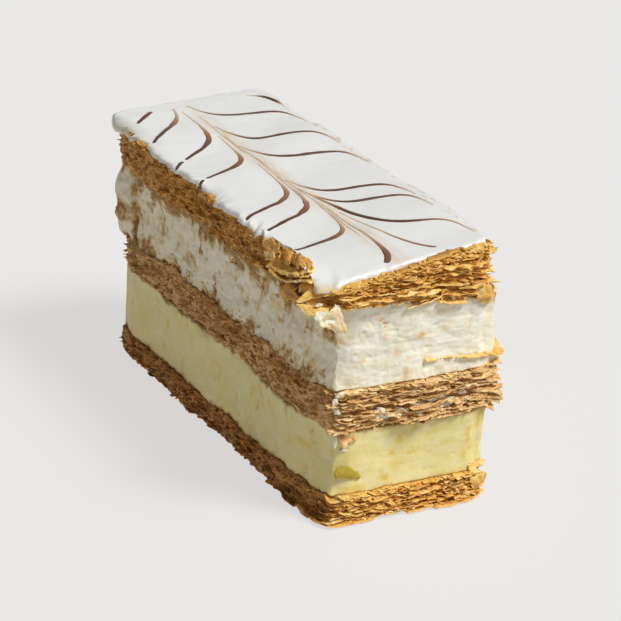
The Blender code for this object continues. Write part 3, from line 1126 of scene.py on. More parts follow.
# thin threads beside the spine, as where they start, where they end and how far off they start
THREADS = ((-50, -20, 0.9), (-44, -12, -1.1), (-30, 2, 0.8), (-14, 22, -0.9), (2, 34, 0.7), (20, 50, -0.7))
for start, end, away in THREADS:
    y = np.linspace(start, end, 40)
    x = SPINE + away * (1 - (y - start) / (end - start)) ** 1.4 + 0.2 * noise(y / 6, away, 0, 241)
    lines.append(ribbon(np.column_stack([x, y]), (0.2, 0.3, 0.3, 0.2), (0.05, 0.2, 0.15, 0.0)))
icing_lines = join(lines, "icing_lines")
merge_seams(icing_lines, 1e-6)
bpy.ops.object.shade_smooth()
print(f"icing_lines: {len(lines)} ribbons, {len(icing_lines.data.polygons)} faces")

# %% [markdown]
# ## Shards and crumbs
#
# Where the knife went through, hundreds of small shards stick to the leaves, and the long side is
# powdered with crumbs. One shard and one crumb are modelled. Each is then stamped many times into
# one mesh, every stamp turned, bent and torn a little differently.

# %% One shard and one crumb
def as_template(piece):
    """Reads a modelled piece's points in its own units and its faces, and removes it."""
    points = read_points(piece.data)
    faces = [tuple(face.vertices) for face in piece.data.polygons]
    bpy.data.objects.remove(piece)
    return points, faces


def shard_template(columns, rows):
    shard, _, _ = flat_grid("shard", columns, rows)
    thicken(shard, 1.0)
    return as_template(shard)


def crumb_template():
    select_only()
    bpy.ops.mesh.primitive_ico_sphere_add(subdivisions=1, radius=1.0)
    return as_template(bpy.context.object)


SHARD, PLATE, CRUMB = shard_template(4, 2), shard_template(18, 4), crumb_template()


def stamped(name, template, places, frames, sizes, bends, tones, ragged=0.35):
    """One mesh with a copy of the template at every place. frames holds three axes for each."""
    points, faces = template
    count, corners = len(places), len(points)
    local = np.repeat(points[None], count, axis=0)
    serial = np.arange(count)[:, None] * 7.31
    for axis in range(3 if template is CRUMB else 2):
        local[:, :, axis] += ragged * noise(points[:, 0] * 2.1 + serial, points[:, 1] * 2.1 + serial,
                                            points[:, 2] * 2.1, 301 + axis)
    local *= sizes[:, None, :]
    reach = local[:, :, 0] / sizes[:, None, 0]
    local[:, :, 2] += bends[:, None] * sizes[:, None, 0] * (reach ** 2 - 0.5)
    local[:, :, 2] += 0.25 * sizes[:, None, 1] * noise(reach * 1.6 + serial, local[:, :, 1] + serial, 0, 311)
    moved = np.einsum("nij,nkj->nki", frames, local) + places[:, None, :]
    moved[:, :, 2] += np.clip(0.05 - moved[:, :, 2].min(axis=1), 0, None)[:, None]
    stamps = np.arange(count)[:, None, None] * corners
    all_faces = (np.array(faces) + stamps).reshape(-1, len(faces[0])).tolist()
    mesh = bpy.data.meshes.new(name)
    mesh.from_pydata((moved.reshape(-1, 3) * MM).tolist(), [], all_faces)
    paint(mesh, "tone", (tones[:, None] + 0.2 * reach * noise(serial, 0, 0, 315)).ravel())
    paint(mesh, "depth", 0.0)
    piece = bpy.data.objects.new(name, mesh)
    bpy.context.collection.objects.link(piece)
    print(f"{name}: {count} pieces, {len(all_faces)} faces")
    return piece


# %% Frames for the stamps
def turned(first, second, angle):
    """Two sets of axes, each pair turned by its own angle towards one another."""
    cosine, sine = np.cos(angle)[:, None], np.sin(angle)[:, None]
    return first * cosine + second * sine, second * cosine - first * sine


def turned_frames(normals, yaw, pitch, roll):
    """Axes along the wall, out of it and up, each set turned by its own three angles."""
    out = np.column_stack([normals, np.zeros(len(normals))])
    along = np.column_stack([-normals[:, 1], normals[:, 0], np.zeros(len(normals))])
    up = np.tile((0.0, 0.0, 1.0), (len(normals), 1))
    along, out = turned(along, out, yaw)
    out, up = turned(out, up, pitch)
    along, up = turned(along, up, roll)
    return np.stack([along, out, up], axis=2)


SIDE_SHARES = {"right": (0.82, 1.18), "back": (0.19, 0.31), "left": (0.32, 0.68), "front": (0.69, 0.81)}
# gaps on the front kept clear of stamps: x, rise, half width in mm and half height as a share
CLEAR = {"pastry_top": ((9.5, 0.34, 4.5, 0.17), (-12.0, 0.42, 5.0, 0.10), (-3.0, 0.56, 4.0, 0.06)),
         "pastry_middle": ((0.0, 0.495, 22.0, 0.06),), "pastry_base": ()}


def scatter(node, name, template, seed, counts, length, width, thickness, out, tone, turn=0.35,
            rises=(0.04, 0.97), bend=(-0.25, 0.35), clumps=0.0):
    """Stamps shards or crumbs on the walls of a layer, with a count for each side.

    length, width, thickness, how far each stands out, tone and bend are given as a range. clumps
    gathers them near the layer's upper and lower rim.
    """
    rng = np.random.default_rng(seed)
    layer = layers[node]
    shares = [rng.uniform(*SIDE_SHARES[side], count) for side, count in counts.items()]
    shares = np.mod(np.concatenate(shares), 1.0)
    count = len(shares)
    rises = rng.uniform(*rises, count)
    points, normals = outline(shares)
    x, y = points.T
    kept = np.ones(count, bool)
    for middle, level, half_width, half_height in CLEAR.get(node, ()):
        outside = (np.abs(x - middle) > half_width) | (np.abs(rises - level) > half_height)
        kept &= (normals[:, 1] > -0.5) | outside
    if clumps:
        kept &= noise(x / 2.2, y / 2.2, rises * 9, seed) > clumps * np.minimum(rises, 1 - rises) - 0.3
    # the icing sags over the top sheet's front left corner
    kept &= (node != "pastry_top") | (x > -20) | (y > -57) | (rises < 0.7)
    shares, rises, points, normals = (values[kept] for values in (shares, rises, points, normals))
    count = len(shares)
    wall = layer.stands_out(shares, rises) + rng.uniform(*out, count)
    low, high = edges(node, shares)
    z = low + (high - low) * rises
    places = np.column_stack([points + normals * wall[:, None], z])
    frames = turned_frames(normals, *(rng.uniform(-1, 1, count) * turn * share for share in (1.6, 1.0, 0.6)))
    sizes = np.column_stack([rng.uniform(*length, count), rng.uniform(*width, count),
                             rng.uniform(*thickness, count)])
    # painted shade: pieces on the long left side get a darker tone from IN_SHADE
    tones = rng.uniform(*tone, count) + IN_SHADE[node] * np.clip(-normals[:, 0], 0, 1)
    bends = rng.uniform(*bend, count)
    return stamped(name, template, places, frames, sizes, bends, tones)


shards = {node: scatter(node, node + "_shards", SHARD, 51 + i,
                        {"front": 200, "right": 520, "back": 220, "left": left},
                        (0.3, 2.0), (0.3, 1.0), (0.09, 0.2), (-0.7, 0.3), (0.3, 1.05))
          for i, (node, left) in enumerate(zip(SHEETS, (140, 300, 220)))}

# %% Broken plates of leaf between the thin ones
plates = {node: scatter(node, node + "_plates", PLATE, 71 + i,
                        {"front": 30, "right": 64, "back": 28, "left": 26},
                        (1.5, 4.8), (1.0, 1.9), (0.14, 0.3), (-1.3, -0.3), (0.45, 1.1), turn=0.11,
                        rises=(0.03, 0.98), bend=(-0.10, 0.14)) for i, node in enumerate(SHEETS)}


# %% Shards lying on the rims of the sheets
# flat shards along a sheet's upper rim hide where the next layer starts; for each sheet, how many lie
# on the front, right, back and left, how far they stand out, and their rises
RIMS = ((60, 160, 60, 40, (-1.4, 0.1), (0.92, 1.0)),
        (70, 180, 70, 60, (-1.2, 0.2), (0.92, 1.0)),
        (200, 50, 40, 0, (-1.9, 0.0), (0.88, 0.99)))
rims = {node: scatter(node, node + "_rim", SHARD, 54 + i,
                      {"front": front, "right": right, "back": back, "left": left},
                      (0.4, 1.5), (0.4, 1.1), (0.10, 0.2), out, (0.35, 1.0), turn=0.28, rises=rises)
        for i, (node, (front, right, back, left, out, rises)) in enumerate(zip(SHEETS, RIMS))}

# %% Crumbs
crumbs = {node: scatter(node, node + "_crumbs", CRUMB, 61 + i,
                        {"front": 240, "right": 480, "back": 220, "left": left},
                        (0.15, size), (0.15, size), (0.12, size), (-0.5, 0.1), (0.2, 0.95))
          for i, (node, left, size) in enumerate(zip(SHEETS, (1300, 1900, 1900), (0.42, 0.5, 0.55)))}

# crumbs of the top sheet that the knife dragged down over the cream, and some of the middle sheet
cream_crumbs = scatter("whipped_cream", "cream_crumbs", CRUMB, 66,
                       {"left": 2600, "right": 700, "front": 40, "back": 40}, (0.15, 0.5), (0.15, 0.45),
                       (0.12, 0.4), (-0.2, 0.08), (0.35, 1.1), rises=(0.55, 1.0), clumps=2.4)
cream_crumbs_low = scatter("whipped_cream", "cream_crumbs_low", CRUMB, 67, {"left": 900, "right": 300},
                           (0.12, 0.4), (0.12, 0.4), (0.12, 0.35), (-0.2, 0.06), (0.5, 1.1),
                           rises=(0.0, 0.2), clumps=5.0)

# %% [markdown]
# ## Large loose flakes
#
# A few leaves broke away whole: a curled cluster on the left side, a long lip and a cream-smeared
# scrap at the front corner, lips and a curl round a hollow on the front, pointed leaves that fan
# out at the right end of every sheet, and one leaf caught in the cream. Each is a small grid laid
# between two long edges, ruffled, torn at its rim and given a thickness with Solidify.

# %% One large flake
FLAKE_CELL = 0.3  # mm, the size of a flake's faces
# the rim's paler colour is a painted highlight, for the light that torn edges catch
FLAKE_RIM = 1.2  # mm, how wide the torn and paler rim of a flake is


def smooth_path(knots, share):
    """Points at shares from 0 to 1 of a smooth path through the knots."""
    knots = np.array(knots, float)
    steps = len(knots) - 1
    index = np.clip((share * steps).astype(int), 0, steps - 1)
    t = (share * steps - index)[:, None]
    a, b, c, d = (knots[np.clip(index + step, 0, steps)] for step in (-1, 0, 1, 2))
    bend = 2 * b + (c - a) * t + (2 * a - 5 * b + 4 * c - d) * t ** 2
    return 0.5 * (bend + (3 * b - a - 3 * c + d) * t ** 3)


def tears(place, seed, row, key):
    """How far a torn rim stands in or out along it, in broad tears and fine ones."""
    return layered(place / 1.5, seed, row, key) + 0.3 * noise(place / 0.5, seed, row, key + 5)


def flake(*corners, seed=0, curl=0.0, ruffle=0.3, thickness=0.2, torn=0.5, tone=0.65, light=0.25,
          depth=0.0):
    """A bent leaf between two long edges.

    The corners go round its rim, half of them on each edge. curl lifts its middle, ruffle waves it
    and torn roughens its rim, all in mm. light says how much paler its rim is painted, a painted
    highlight for the light that torn edges catch, and depth how much darker all of it is painted, as
    shade for a flake that lies in a hollow.
    """
    inner, outer = corners[:len(corners) // 2], corners[len(corners) // 2:][::-1]
    a, b, c, d = (np.array(corner, float) for corner in (inner[0], inner[-1], outer[-1], outer[0]))
    length, width = np.linalg.norm(b - a + c - d) / 2, np.linalg.norm(d - a + c - b) / 2
    piece, u, v = flat_grid("flake", max(int(length / FLAKE_CELL), 8), max(int(width / FLAKE_CELL), 6))
    along, across = u * length, v * width
    rim_u = np.clip(1 - np.minimum(along, length - along) / FLAKE_RIM, 0, 1)
    rim_v = np.clip(1 - np.minimum(across, width - across) / FLAKE_RIM, 0, 1)
    u = u + torn * rim_u / length * tears(across, seed, 0, 401)
    v = v + torn * rim_v / width * tears(along, seed, 9, 402)
    near, far = smooth_path(inner, np.clip(u, -0.2, 1.2)), smooth_path(outer, np.clip(u, -0.2, 1.2))
    u, v = u[:, None], v[:, None]
    points = near * (1 - v) + far * v
    normal = np.cross(c - a, d - b)
    normal /= np.linalg.norm(normal)
    bow = curl * 4 * v * (1 - v) + 0.5 * curl * 4 * u * (1 - u)
    waves = noise(along / 2.4 + seed, across / 2.4, 0, 403)
    waves += 0.5 * noise(along, across + seed, 0, 404)
    waves += 0.4 * noise(along / 0.7, across / 0.7, seed, 408)
    points = points + normal * (bow + ruffle * waves[:, None])
    write_points(piece.data, points)
    # painted highlight: the rim is painted paler, as if it caught the light
    rim_highlight = light * np.maximum(rim_u, rim_v) ** 2
    mottled = 0.25 * noise(along / 1.2 + seed, across / 1.2, 0, 405)
    mottled += 0.2 * noise(along / 0.6, across / 0.6, seed, 409)
    paint(piece.data, "tone", tone + rim_highlight + mottled)
    # painted shade: depth darkens the whole flake's colour
    paint(piece.data, "depth", depth)
    thicken(piece, thickness * MM)
    return piece


def flakes(name, *parts, **shared):
    """Joins flakes into one piece. shared holds the looks that most of them have."""
    piece = join([flake(*corners, **{**shared, **looks}) for corners, looks in parts], name)
    bpy.ops.object.shade_smooth_by_angle(angle=math.radians(40))
    print(f"{name}: {len(parts)} flakes, {len(piece.data.polygons)} faces")
    return piece


def part(*corners, **looks):
    return corners, looks


# %% The curled cluster on the left side
# two wavy lips that step outwards and down, golden and brown lumps behind them, and a hollow below,
# whose brown leaves are painted darker still for the shade in it
left_cluster = flakes(
    "flakes_left_cluster",
    part((-24.2, -33.8, 61.4), (-24.2, -37.4, 62.4), (-24, -41, 62.4), (-23.8, -45, 63.4),
         (-23.6, -49.4, 65.1), (-23.4, -54.2, 66), (-25.6, -55.9, 65.6), (-27.2, -54.8, 64.9),
         (-27.8, -52.4, 64), (-27.9, -49, 62.9), (-27.8, -42.4, 61), (-27, -36.5, 59.9), seed=1,
         curl=0.5, ruffle=0.22, thickness=0.5, tone=0.6, light=0.5),
    part((-24.8, -37, 60.3), (-24.8, -40.6, 60.8), (-24.8, -44.9, 61.3), (-24.7, -49.5, 62.6),
         (-24.6, -53.4, 64), (-24.6, -57.4, 64.2), (-27.2, -59.4, 64.3), (-28, -57.6, 64.4),
         (-28.5, -54.2, 63.2), (-28.6, -49.7, 61.3), (-28.6, -45.6, 60.6), (-28.2, -40.2, 60.6), seed=2,
         curl=0.5, ruffle=0.24, thickness=0.5, tone=0.48, light=0.6),
    part((-24.2, -35.4, 60.8), (-24.2, -44.6, 62), (-24.1, -54.8, 64.5), (-27, -57, 65),
         (-27.6, -49.4, 62.6), (-27.3, -38.2, 60.9), seed=3, curl=0.4, ruffle=0.35, torn=0.8, tone=0.58,
         light=0.3),
    part((-24, -30.4, 62.2), (-23.9, -36.4, 64), (-25.3, -38, 62.4), (-25.6, -33.6, 59.9), seed=4,
         curl=-0.4, ruffle=0.4, torn=0.8, tone=1.1, light=0.1),
    part((-22.8, -29, 63.8), (-22.8, -34, 65.2), (-24.8, -35.8, 63.9), (-24.9, -31, 62), seed=5,
         curl=-0.7, ruffle=0.6, torn=0.9, tone=-0.1),
    part((-23, -37.2, 63), (-23, -41, 64.6), (-23, -47.5, 65.5), (-25, -50, 64.9), (-25.2, -45.4, 63.4),
         (-25.2, -40.4, 62.4), seed=6, ruffle=0.65, torn=0.9),
    part((-23, -46, 65.8), (-22.9, -52.6, 65.8), (-25.2, -54.4, 65.2), (-25.4, -48.6, 64.6), seed=7,
         ruffle=0.8, torn=1.1, light=0.2),
    part((-23.9, -37, 59.6), (-23.9, -52.5, 62.4), (-23.7, -49.8, 54.8), (-23.5, -38, 52.4), seed=9,
         curl=0.2, tone=-0.25, light=0.1, depth=0.3),
    part((-24.4, -40.8, 56.6), (-24.6, -44.8, 58.6), (-24.6, -49, 59), (-24.2, -48.6, 56.2),
         (-24.3, -45.4, 53.6), (-24, -41.4, 53.4), seed=10, curl=-1.2, ruffle=0.55, torn=0.8, tone=0.12,
         light=0.1, depth=0.08),
    part((-25.3, -32.6, 65.9), (-25.3, -40.4, 66.6), (-25.8, -41, 64.7), (-25.8, -33.4, 63.7), seed=8,
         curl=-0.4, ruffle=0.5, torn=0.9, tone=0.2),
    curl=-0.5, thickness=0.4, tone=0.15,
)

# %% The front corner
# a long lip, the pale rim that folds down under its tip, and the recess between them, brown and
# painted darker still for its shade
front_corner = flakes(
    "flakes_front_corner",
    part((-26, -58, 61.6), (-15.5, -63.4, 64), (-18, -65.6, 62.5), (-30.7, -58.7, 59.3), seed=11,
         ruffle=0.18, thickness=0.45, tone=0.62, light=0.35),
    part((-30.6, -58.8, 59), (-24, -63.4, 58.4), (-25.4, -64.8, 57), (-29.6, -62.2, 57), seed=14,
         ruffle=0.2, thickness=0.35, tone=0.85),
    part((-28.6, -59.5, 59.6), (-17.5, -63.6, 62), (-19, -64.2, 59.6), (-27.4, -62.6, 57.6), seed=13,
         curl=0.6, tone=0.22, depth=0.15),
    part((-24.6, -53.5, 62.8), (-24.2, -58.8, 62.9), (-26.8, -59.4, 60.4), (-27.2, -54, 60.2), seed=19,
         curl=-0.6, ruffle=0.35, tone=0.25),
    curl=-0.5, thickness=0.4,
)
corner_scrap = flakes(
    "flakes_smeared_scrap",
    part((-28.9, -64.3, 57.6), (-22.6, -63.8, 60.4), (-20.7, -65.5, 53.4), (-27.4, -65.5, 55), seed=15,
         curl=-0.6, ruffle=0.6, thickness=0.55, torn=1.2),
    part((-26, -63.6, 56.2), (-21.4, -63.4, 57.4), (-20.4, -65.3, 52.6), (-25, -65.2, 53.8), seed=16,
         curl=-0.4, ruffle=0.45, thickness=0.45, torn=1),
)
places = read_points(corner_scrap.data) / MM
places[:, 1] -= 0.35 * layered(*(places.T / 0.9), 413)
write_points(corner_scrap.data, places)
golden_share = 0.42 + 0.07 * (places[:, 0] + 25) - 0.08 * (places[:, 2] - 56.5)
paint(corner_scrap.data, "fleck", np.clip(golden_share + 0.5 * noise(*(places.T / 1.1), 411), 0, 0.9))
paint(corner_scrap.data, "smear", np.clip(0.35 * noise(*(places.T / 0.7), 412), 0, 0.35))
hanging_bit = flakes(
    "flakes_hanging",
    part((-20.6, -61.5, 26.4), (-14.6, -62, 26.6), (-15.2, -64, 22.2), (-18.8, -63.9, 20.4), seed=17,
         ruffle=0.6, tone=0.35),
    part((-21.8, -60, 28), (-16, -62, 28), (-17.2, -64.4, 24.4), (-22.6, -62.8, 24.8), seed=18,
         ruffle=0.7, tone=0.25),
    curl=0.5, thickness=0.8, torn=0.8,
)


# %% Leaves round a hollow on the front
# the hollow's upper and lower lip, a curl that stands in it, and a long leaf that rises to its left
front_curls = flakes(
    "flakes_front_curls",
    part((4.6, -62.5, 61.2), (14.4, -62.5, 60), (14.2, -65.3, 59.5), (4.4, -65.4, 60.6), seed=31,
         tone=0.75),
    part((6, -62.5, 55.7), (14.2, -62.5, 54.6), (14, -65.1, 54.3), (5.8, -65.2, 55.5), seed=32,
         curl=-0.2),
    part((6.4, -64.8, 58.6), (8.2, -64.2, 58.9), (8.4, -63.6, 55.4), (6.8, -64.6, 55), seed=33,
         thickness=0.25, tone=0.95),
    part((9.4, -63.4, 59.6), (13.4, -63.4, 59), (13, -64.2, 55.4), (8.6, -64, 55.6), seed=34, curl=0.9,
         ruffle=0.3, tone=0.25, light=0.1),
    part((-3, -62.5, 55), (6.2, -62.5, 56.9), (6.4, -65.4, 57.5), (-3.2, -65.3, 55.9), seed=35,
         curl=0.2, tone=0.8),
    part((-16.5, -62.5, 61.2), (-7.4, -62.5, 59.8), (-7.2, -65.2, 60.2), (-16.2, -65.3, 61.6), seed=36,
         curl=0.2, ruffle=0.25, tone=0.7),
    part((-7, -62.5, 60), (1, -62.5, 61.4), (1.2, -65.3, 61.2), (-7.2, -65.3, 60.4), seed=37,
         ruffle=0.25),
    curl=0.3, ruffle=0.2, thickness=0.3, tone=0.85,
)

# %% Leaves that stick out at the right end
top_fan = flakes(
    "flakes_top_fan",
    part((13, -56, 67.2), (13, -64, 66.9), (20.9, -63.4, 67.7), (20.3, -60.5, 67.8), seed=20,
         thickness=0.3, tone=0.75),
    part((13, -55, 65.7), (13, -64, 65.4), (21.5, -63.3, 66), (20, -60, 66), seed=21, tone=0.95),
    part((13, -55, 64.2), (13, -64, 64), (19.4, -63.8, 63.6), (18.8, -58, 63.8), seed=22, curl=0.2),
    part((11, -57, 62.6), (11, -64.4, 62.2), (22.9, -63.2, 60), (21.2, -61.4, 60.8), seed=23, curl=0.6,
         ruffle=0.25, torn=0.6, tone=0.85),
    part((12, -57, 60.8), (12, -64.2, 60.4), (20.4, -63.6, 59.4), (19.4, -60, 59.8), seed=24),
    part((16.2, -64.4, 57.6), (19.6, -64, 58), (21.4, -63.2, 57.2), (23.2, -62.8, 54.8),
         (20.6, -64, 52.6), (17.4, -64.6, 53.2), seed=25, curl=-0.7, ruffle=0.75, thickness=0.4,
         torn=1.1, tone=0.6, light=0.35),
    part((14, -57, 57.6), (14, -64, 57.2), (23.2, -62.8, 56), (21.4, -59, 56.6), seed=26, curl=0.4,
         tone=0.6),
    part((14, -57, 55.2), (13, -64.2, 54.9), (22.1, -63.3, 53.2), (20.4, -59.5, 54), seed=27, tone=0.9),
    curl=0.3, thickness=0.35, torn=0.9, tone=0.5,
)
# the middle sheet's end opens like a fan, each leaf a little lower and further out
FAN_TIPS = (
    (26.2, 35.6), (24.6, 34.2), (25.4, 32.6), (26.4, 31), (26, 29.6), (27.2, 28.2), (27, 26.8),
    (27.6, 25.4), (26.6, 24.2), (24.8, 23.2))


def fan_leaf(index, out, tip):
    """A leaf of the fan, counted from the top. It ends at x = out and z = tip."""
    odd, third = index % 2, index % 3
    return part((15, -56 - third, 35 - 0.8 * index), (17.5, -64 - 0.3 * odd, 34.8 - 0.95 * index),
                (out - 0.6, -63.9 + 0.4 * third, tip), (out, -60.6 - 0.7 * third, tip + 0.4),
                seed=40 + index, curl=0.5 - 0.4 * odd, tone=(0.55, 0.3, 0.7, 0.4)[index % 4])


middle_fan = flakes(
    "flakes_middle_fan", *(fan_leaf(index, *ends) for index, ends in enumerate(FAN_TIPS)),
    thickness=0.42, torn=0.7)
base_fan = flakes(
    "flakes_base_fan",
    part((17.5, -64.2, 8.4), (21.2, -62.6, 9.9), (23.6, -62.6, 8.8), (19.6, -64.4, 6.4), seed=60,
         curl=0.5, torn=0.7),
    part((18, -65, 6), (20.6, -64.4, 6.9), (22.6, -63.4, 6.2), (23.4, -63.2, 4), (21.4, -64.4, 2.6),
         (18.6, -65.4, 2.8), seed=61, curl=-0.6, ruffle=0.7, torn=1, tone=0.6, light=0.35),
    part((14, -57, 4.4), (13, -64.8, 4), (23.2, -63.6, 4.6), (21.4, -59, 4.9), seed=62),
    part((14, -57, 2.9), (13, -65.2, 2.5), (21.8, -64.4, 2.4), (20.5, -59, 2.8), seed=63, tone=0.55),
    part((14, -57, 1.5), (13, -65.4, 1.1), (22.4, -64.2, 0.9), (20.5, -59, 1.3), seed=64, curl=0.2,
         ruffle=0.25, tone=0.75),
    curl=0.3, thickness=0.35, torn=0.9, tone=0.9,
)

# %% The leaf caught in the cream
cream_leaf = flakes(
    "flakes_in_cream",
    part((3.3, -61, 41), (7, -61, 40.7), (7.2, -64.1, 40), (3.3, -64.1, 40.3), seed=71, thickness=0.35,
         tone=0.85),
    part((7.9, -61, 40.6), (11.4, -61, 40.4), (11.6, -64, 39.5), (7.9, -64, 39.8), seed=74, tone=0.55),
    part((12.2, -61, 40.4), (21.5, -61, 39.4), (22, -64.3, 38.7), (12.2, -64.1, 39.5), seed=72,
         tone=0.8),
    part((20.8, -60, 40.2), (23.5, -59.2, 41.4), (26, -59.4, 41), (26.8, -62.4, 39),
         (24.2, -64.5, 38.4), (20.8, -64.2, 39), seed=73, curl=0.5, ruffle=0.35, torn=0.8, tone=0.7),
    curl=0.1, ruffle=0.22, thickness=0.4, torn=0.6,
)

# %% [markdown]
# ## Bits in the cream and custard
#
# Crumbs of pastry show through the cut cream, a firm olive piece of set egg sits in the custard's
# front corner, and cream was pressed between the leaves of the middle sheet. Small rounded bits
# are set one by one where they catch the eye, with more scattered along the seams.

# %% Bits set one by one
def bits(name, places, tone, seed):
    """Rounded bits: each place has x, y, z and half its size along, out and up."""
    places = np.array(places, float)
    count = len(places)
    rng = np.random.default_rng(seed)
    turns = [rng.uniform(-0.3, 0.3, count) for _ in range(3)]
    frames = turned_frames(np.tile((0.0, -1.0), (count, 1)), *turns)
    select_only()
    bpy.ops.mesh.primitive_ico_sphere_add(subdivisions=3, radius=1.0)
    rounded = as_template(bpy.context.object)
    piece = stamped(name, rounded, places[:, :3], frames, places[:, 3:], np.zeros(count),
                    np.full(count, tone), 0.5)
    points = read_points(piece.data) / MM
    for axis in range(3):
        lumps = 0.22 * layered(*(points.T / 0.8), 321 + axis)
        points[:, axis] += lumps + 0.1 * noise(*(points.T / 0.3), 325 + axis)
    write_points(piece.data, points)
    select_only(piece)
    bpy.ops.object.shade_smooth()
    return piece


custard_lump = flakes(
    "custard_lump",
    part((-20.7, -63, 14.7), (-18.8, -63.1, 15.2), (-16.4, -63.1, 14.7), (-14.6, -63.1, 13.2),
         (-13.7, -63.1, 11.8), (-13.9, -63.1, 11.5), (-15.2, -63.1, 11.9), (-16.9, -63.1, 12.2),
         (-18.8, -63.1, 12.5), (-20.5, -63.05, 12.8), seed=81, curl=-0.25, ruffle=0.08, thickness=0.9,
         torn=0.1),
)

# cream squeezed between the leaves of the middle sheet, under the top sheet and over the custard
SQUEEZED = (
    (-8.4, -63.3, 28.2, 2, 0.6, 1.3), (-10.2, -63.2, 27, 1.3, 0.6, 0.9),
    (3.7, -63.9, 25, 1.2, 0.6, 0.9), (-0.9, -63.8, 25.3, 2.4, 0.6, 0.6),
    (6.5, -63.9, 25.8, 1.1, 0.6, 1.2), (9.6, -63.8, 27.4, 1.8, 0.5, 0.7),
    (11.6, -63.6, 28.6, 1.4, 0.5, 0.5), (1.5, -64, 29, 1.8, 0.5, 0.6),
    (-3.6, -63.9, 28.6, 1.5, 0.5, 0.5), (-4.2, -63.7, 26.6, 1.2, 0.6, 0.7),
    (13, -63.4, 25.8, 1.2, 0.6, 0.6), (6, -64, 29.6, 1.6, 0.5, 0.5), (11, -64.1, 33.7, 1.7, 0.4, 0.35),
    (4.5, -64.3, 34, 1.4, 0.4, 0.3), (-20.5, -62.6, 22.6, 0.5, 0.3, 2.2),
    (-17, -62.5, 19.4, 2, 0.3, 0.4), (-21, -62.6, 32.6, 0.8, 0.6, 1.6),
    (-20.2, -62.8, 30.6, 1.2, 0.6, 0.8), (-19.8, -62.8, 34.8, 1.3, 0.6, 0.6),
    (-8.6, -62.6, 56.6, 1, 0.6, 0.8), (-3.6, -62.6, 55.9, 0.8, 0.6, 1),
    (12.6, -63.9, 31, 1.4, 0.4, 0.5), (8.2, -64, 30.2, 1.2, 0.5, 0.8),
    (-26.6, -62.8, 59.6, 0.9, 0.4, 0.4), (14.6, -63.7, 29.8, 1.3, 0.4, 0.5),
    (3, -64, 27.6, 1.5, 0.5, 0.6))
squeezed_cream = bits("squeezed_cream", SQUEEZED, 0.5, 82)
cream_bits = scatter("pastry_middle", "cream_bits_middle", CRUMB, 83,
                     {"front": 60, "right": 80, "back": 40, "left": 24}, (0.25, 0.8), (0.2, 0.45),
                     (0.2, 0.45), (-0.7, -0.1), (0.4, 0.9), rises=(0.03, 0.4))
cream_bits_top = scatter("pastry_top", "cream_bits_top", CRUMB, 84,
                         {"front": 24, "right": 40, "back": 20, "left": 12}, (0.25, 0.8), (0.2, 0.4),
                         (0.2, 0.5), (-0.7, -0.1), (0.4, 0.9), rises=(0.0, 0.1))

# %% [markdown]
# ## Finishes
#
# Two effects come back in several finishes, so each is built once as a node group: a grain, which
# is noise stretched as the surface is, and spots, which are islands cut out of finer noise. The baked
# colour, which runs from burnt to pale, is a ramp in each pastry finish. The shaders stay in the
# materials.

# %% Node helpers
def add_node(tree, kind, inputs=None, **settings):
    """A shader node with its settings, and each input set to a value or linked to an output."""
    made = tree.nodes.new("ShaderNode" + kind)
    for name, value in settings.items():
        setattr(made, name, value)
    for name, value in (inputs or {}).items():
        if isinstance(value, bpy.types.NodeSocket):
            tree.links.new(value, made.inputs[name])
        else:
            made.inputs[name].default_value = value
    return made


def blend(tree, share, low, high, how="MIX"):
    """Mixes two colours, each given as an output or as red, green and blue."""
    low, high = (c if isinstance(c, bpy.types.NodeSocket) else (*c, 1) for c in (low, high))
    return add_node(tree, "Mix", {0: share, 6: low, 7: high}, data_type="RGBA", blend_type=how).outputs[2]


def math_of(tree, operation, *values, clamp=False):
    return add_node(tree, "Math", dict(enumerate(values)), operation=operation, use_clamp=clamp).outputs[0]


def mapped(tree, value, low, high, how="LINEAR"):
    """Brings a value that runs from low to high to run from 0 to 1."""
    given = {"Value": value, "From Min": low, "From Max": high}
    return add_node(tree, "MapRange", given, interpolation_type=how).outputs[0]


def new_group(name, inputs, outputs):
    """An empty node group with named sockets: (name, kind, default) and (name, kind)."""
    group = bpy.data.node_groups.new(name, "ShaderNodeTree")
    for socket, kind, default in inputs:
        made = group.interface.new_socket(socket, in_out="INPUT", socket_type="NodeSocket" + kind)
        made.default_value = default
    for socket, kind in outputs:
        group.interface.new_socket(socket, in_out="OUTPUT", socket_type="NodeSocket" + kind)
    return group, group.nodes.new("NodeGroupInput").outputs, group.nodes.new("NodeGroupOutput").inputs


def place_group(tree, group, **inputs):
    made = tree.nodes.new("ShaderNodeGroup")
    made.node_tree = group
    for name, value in inputs.items():
        socket = made.inputs[name.replace("_", " ")]
        if isinstance(value, bpy.types.NodeSocket):
            tree.links.new(value, socket)
        else:
            socket.default_value = value
    return made.outputs


def grained(tree, size, stretch=(1, 1, 1), detail=2.0):
    return place_group(tree, grain, Size=size, Stretch=stretch, Detail=detail)["Value"]


def spotted(tree, size, stretch, cover):
    return place_group(tree, spots, Size=size, Stretch=stretch, Cover=cover)["Mask"]


# %% Grain and spots
def grain_group():
    """Noise in 0 to 1, stretched along each axis. Size is how wide its marks are, in mm."""
    group, given, result = new_group(
        "food grain", (("Size", "Float", 1.0), ("Stretch", "Vector", (1, 1, 1)), ("Detail", "Float", 3.0)),
        (("Value", "Float"),))
    place = group.nodes.new("ShaderNodeTexCoord").outputs["Object"]
    drawn = add_node(group, "VectorMath", {0: place, 1: given["Stretch"]}, operation="DIVIDE").outputs[0]
    scale = math_of(group, "DIVIDE", 1000.0, given["Size"])
    speckle = add_node(group, "TexNoise", {"Vector": drawn, "Scale": scale, "Detail": given["Detail"],
                                           "Roughness": 0.6}, noise_dimensions="3D").outputs["Fac"]
    group.links.new(mapped(group, speckle, 0.28, 0.72), result["Value"])
    return group


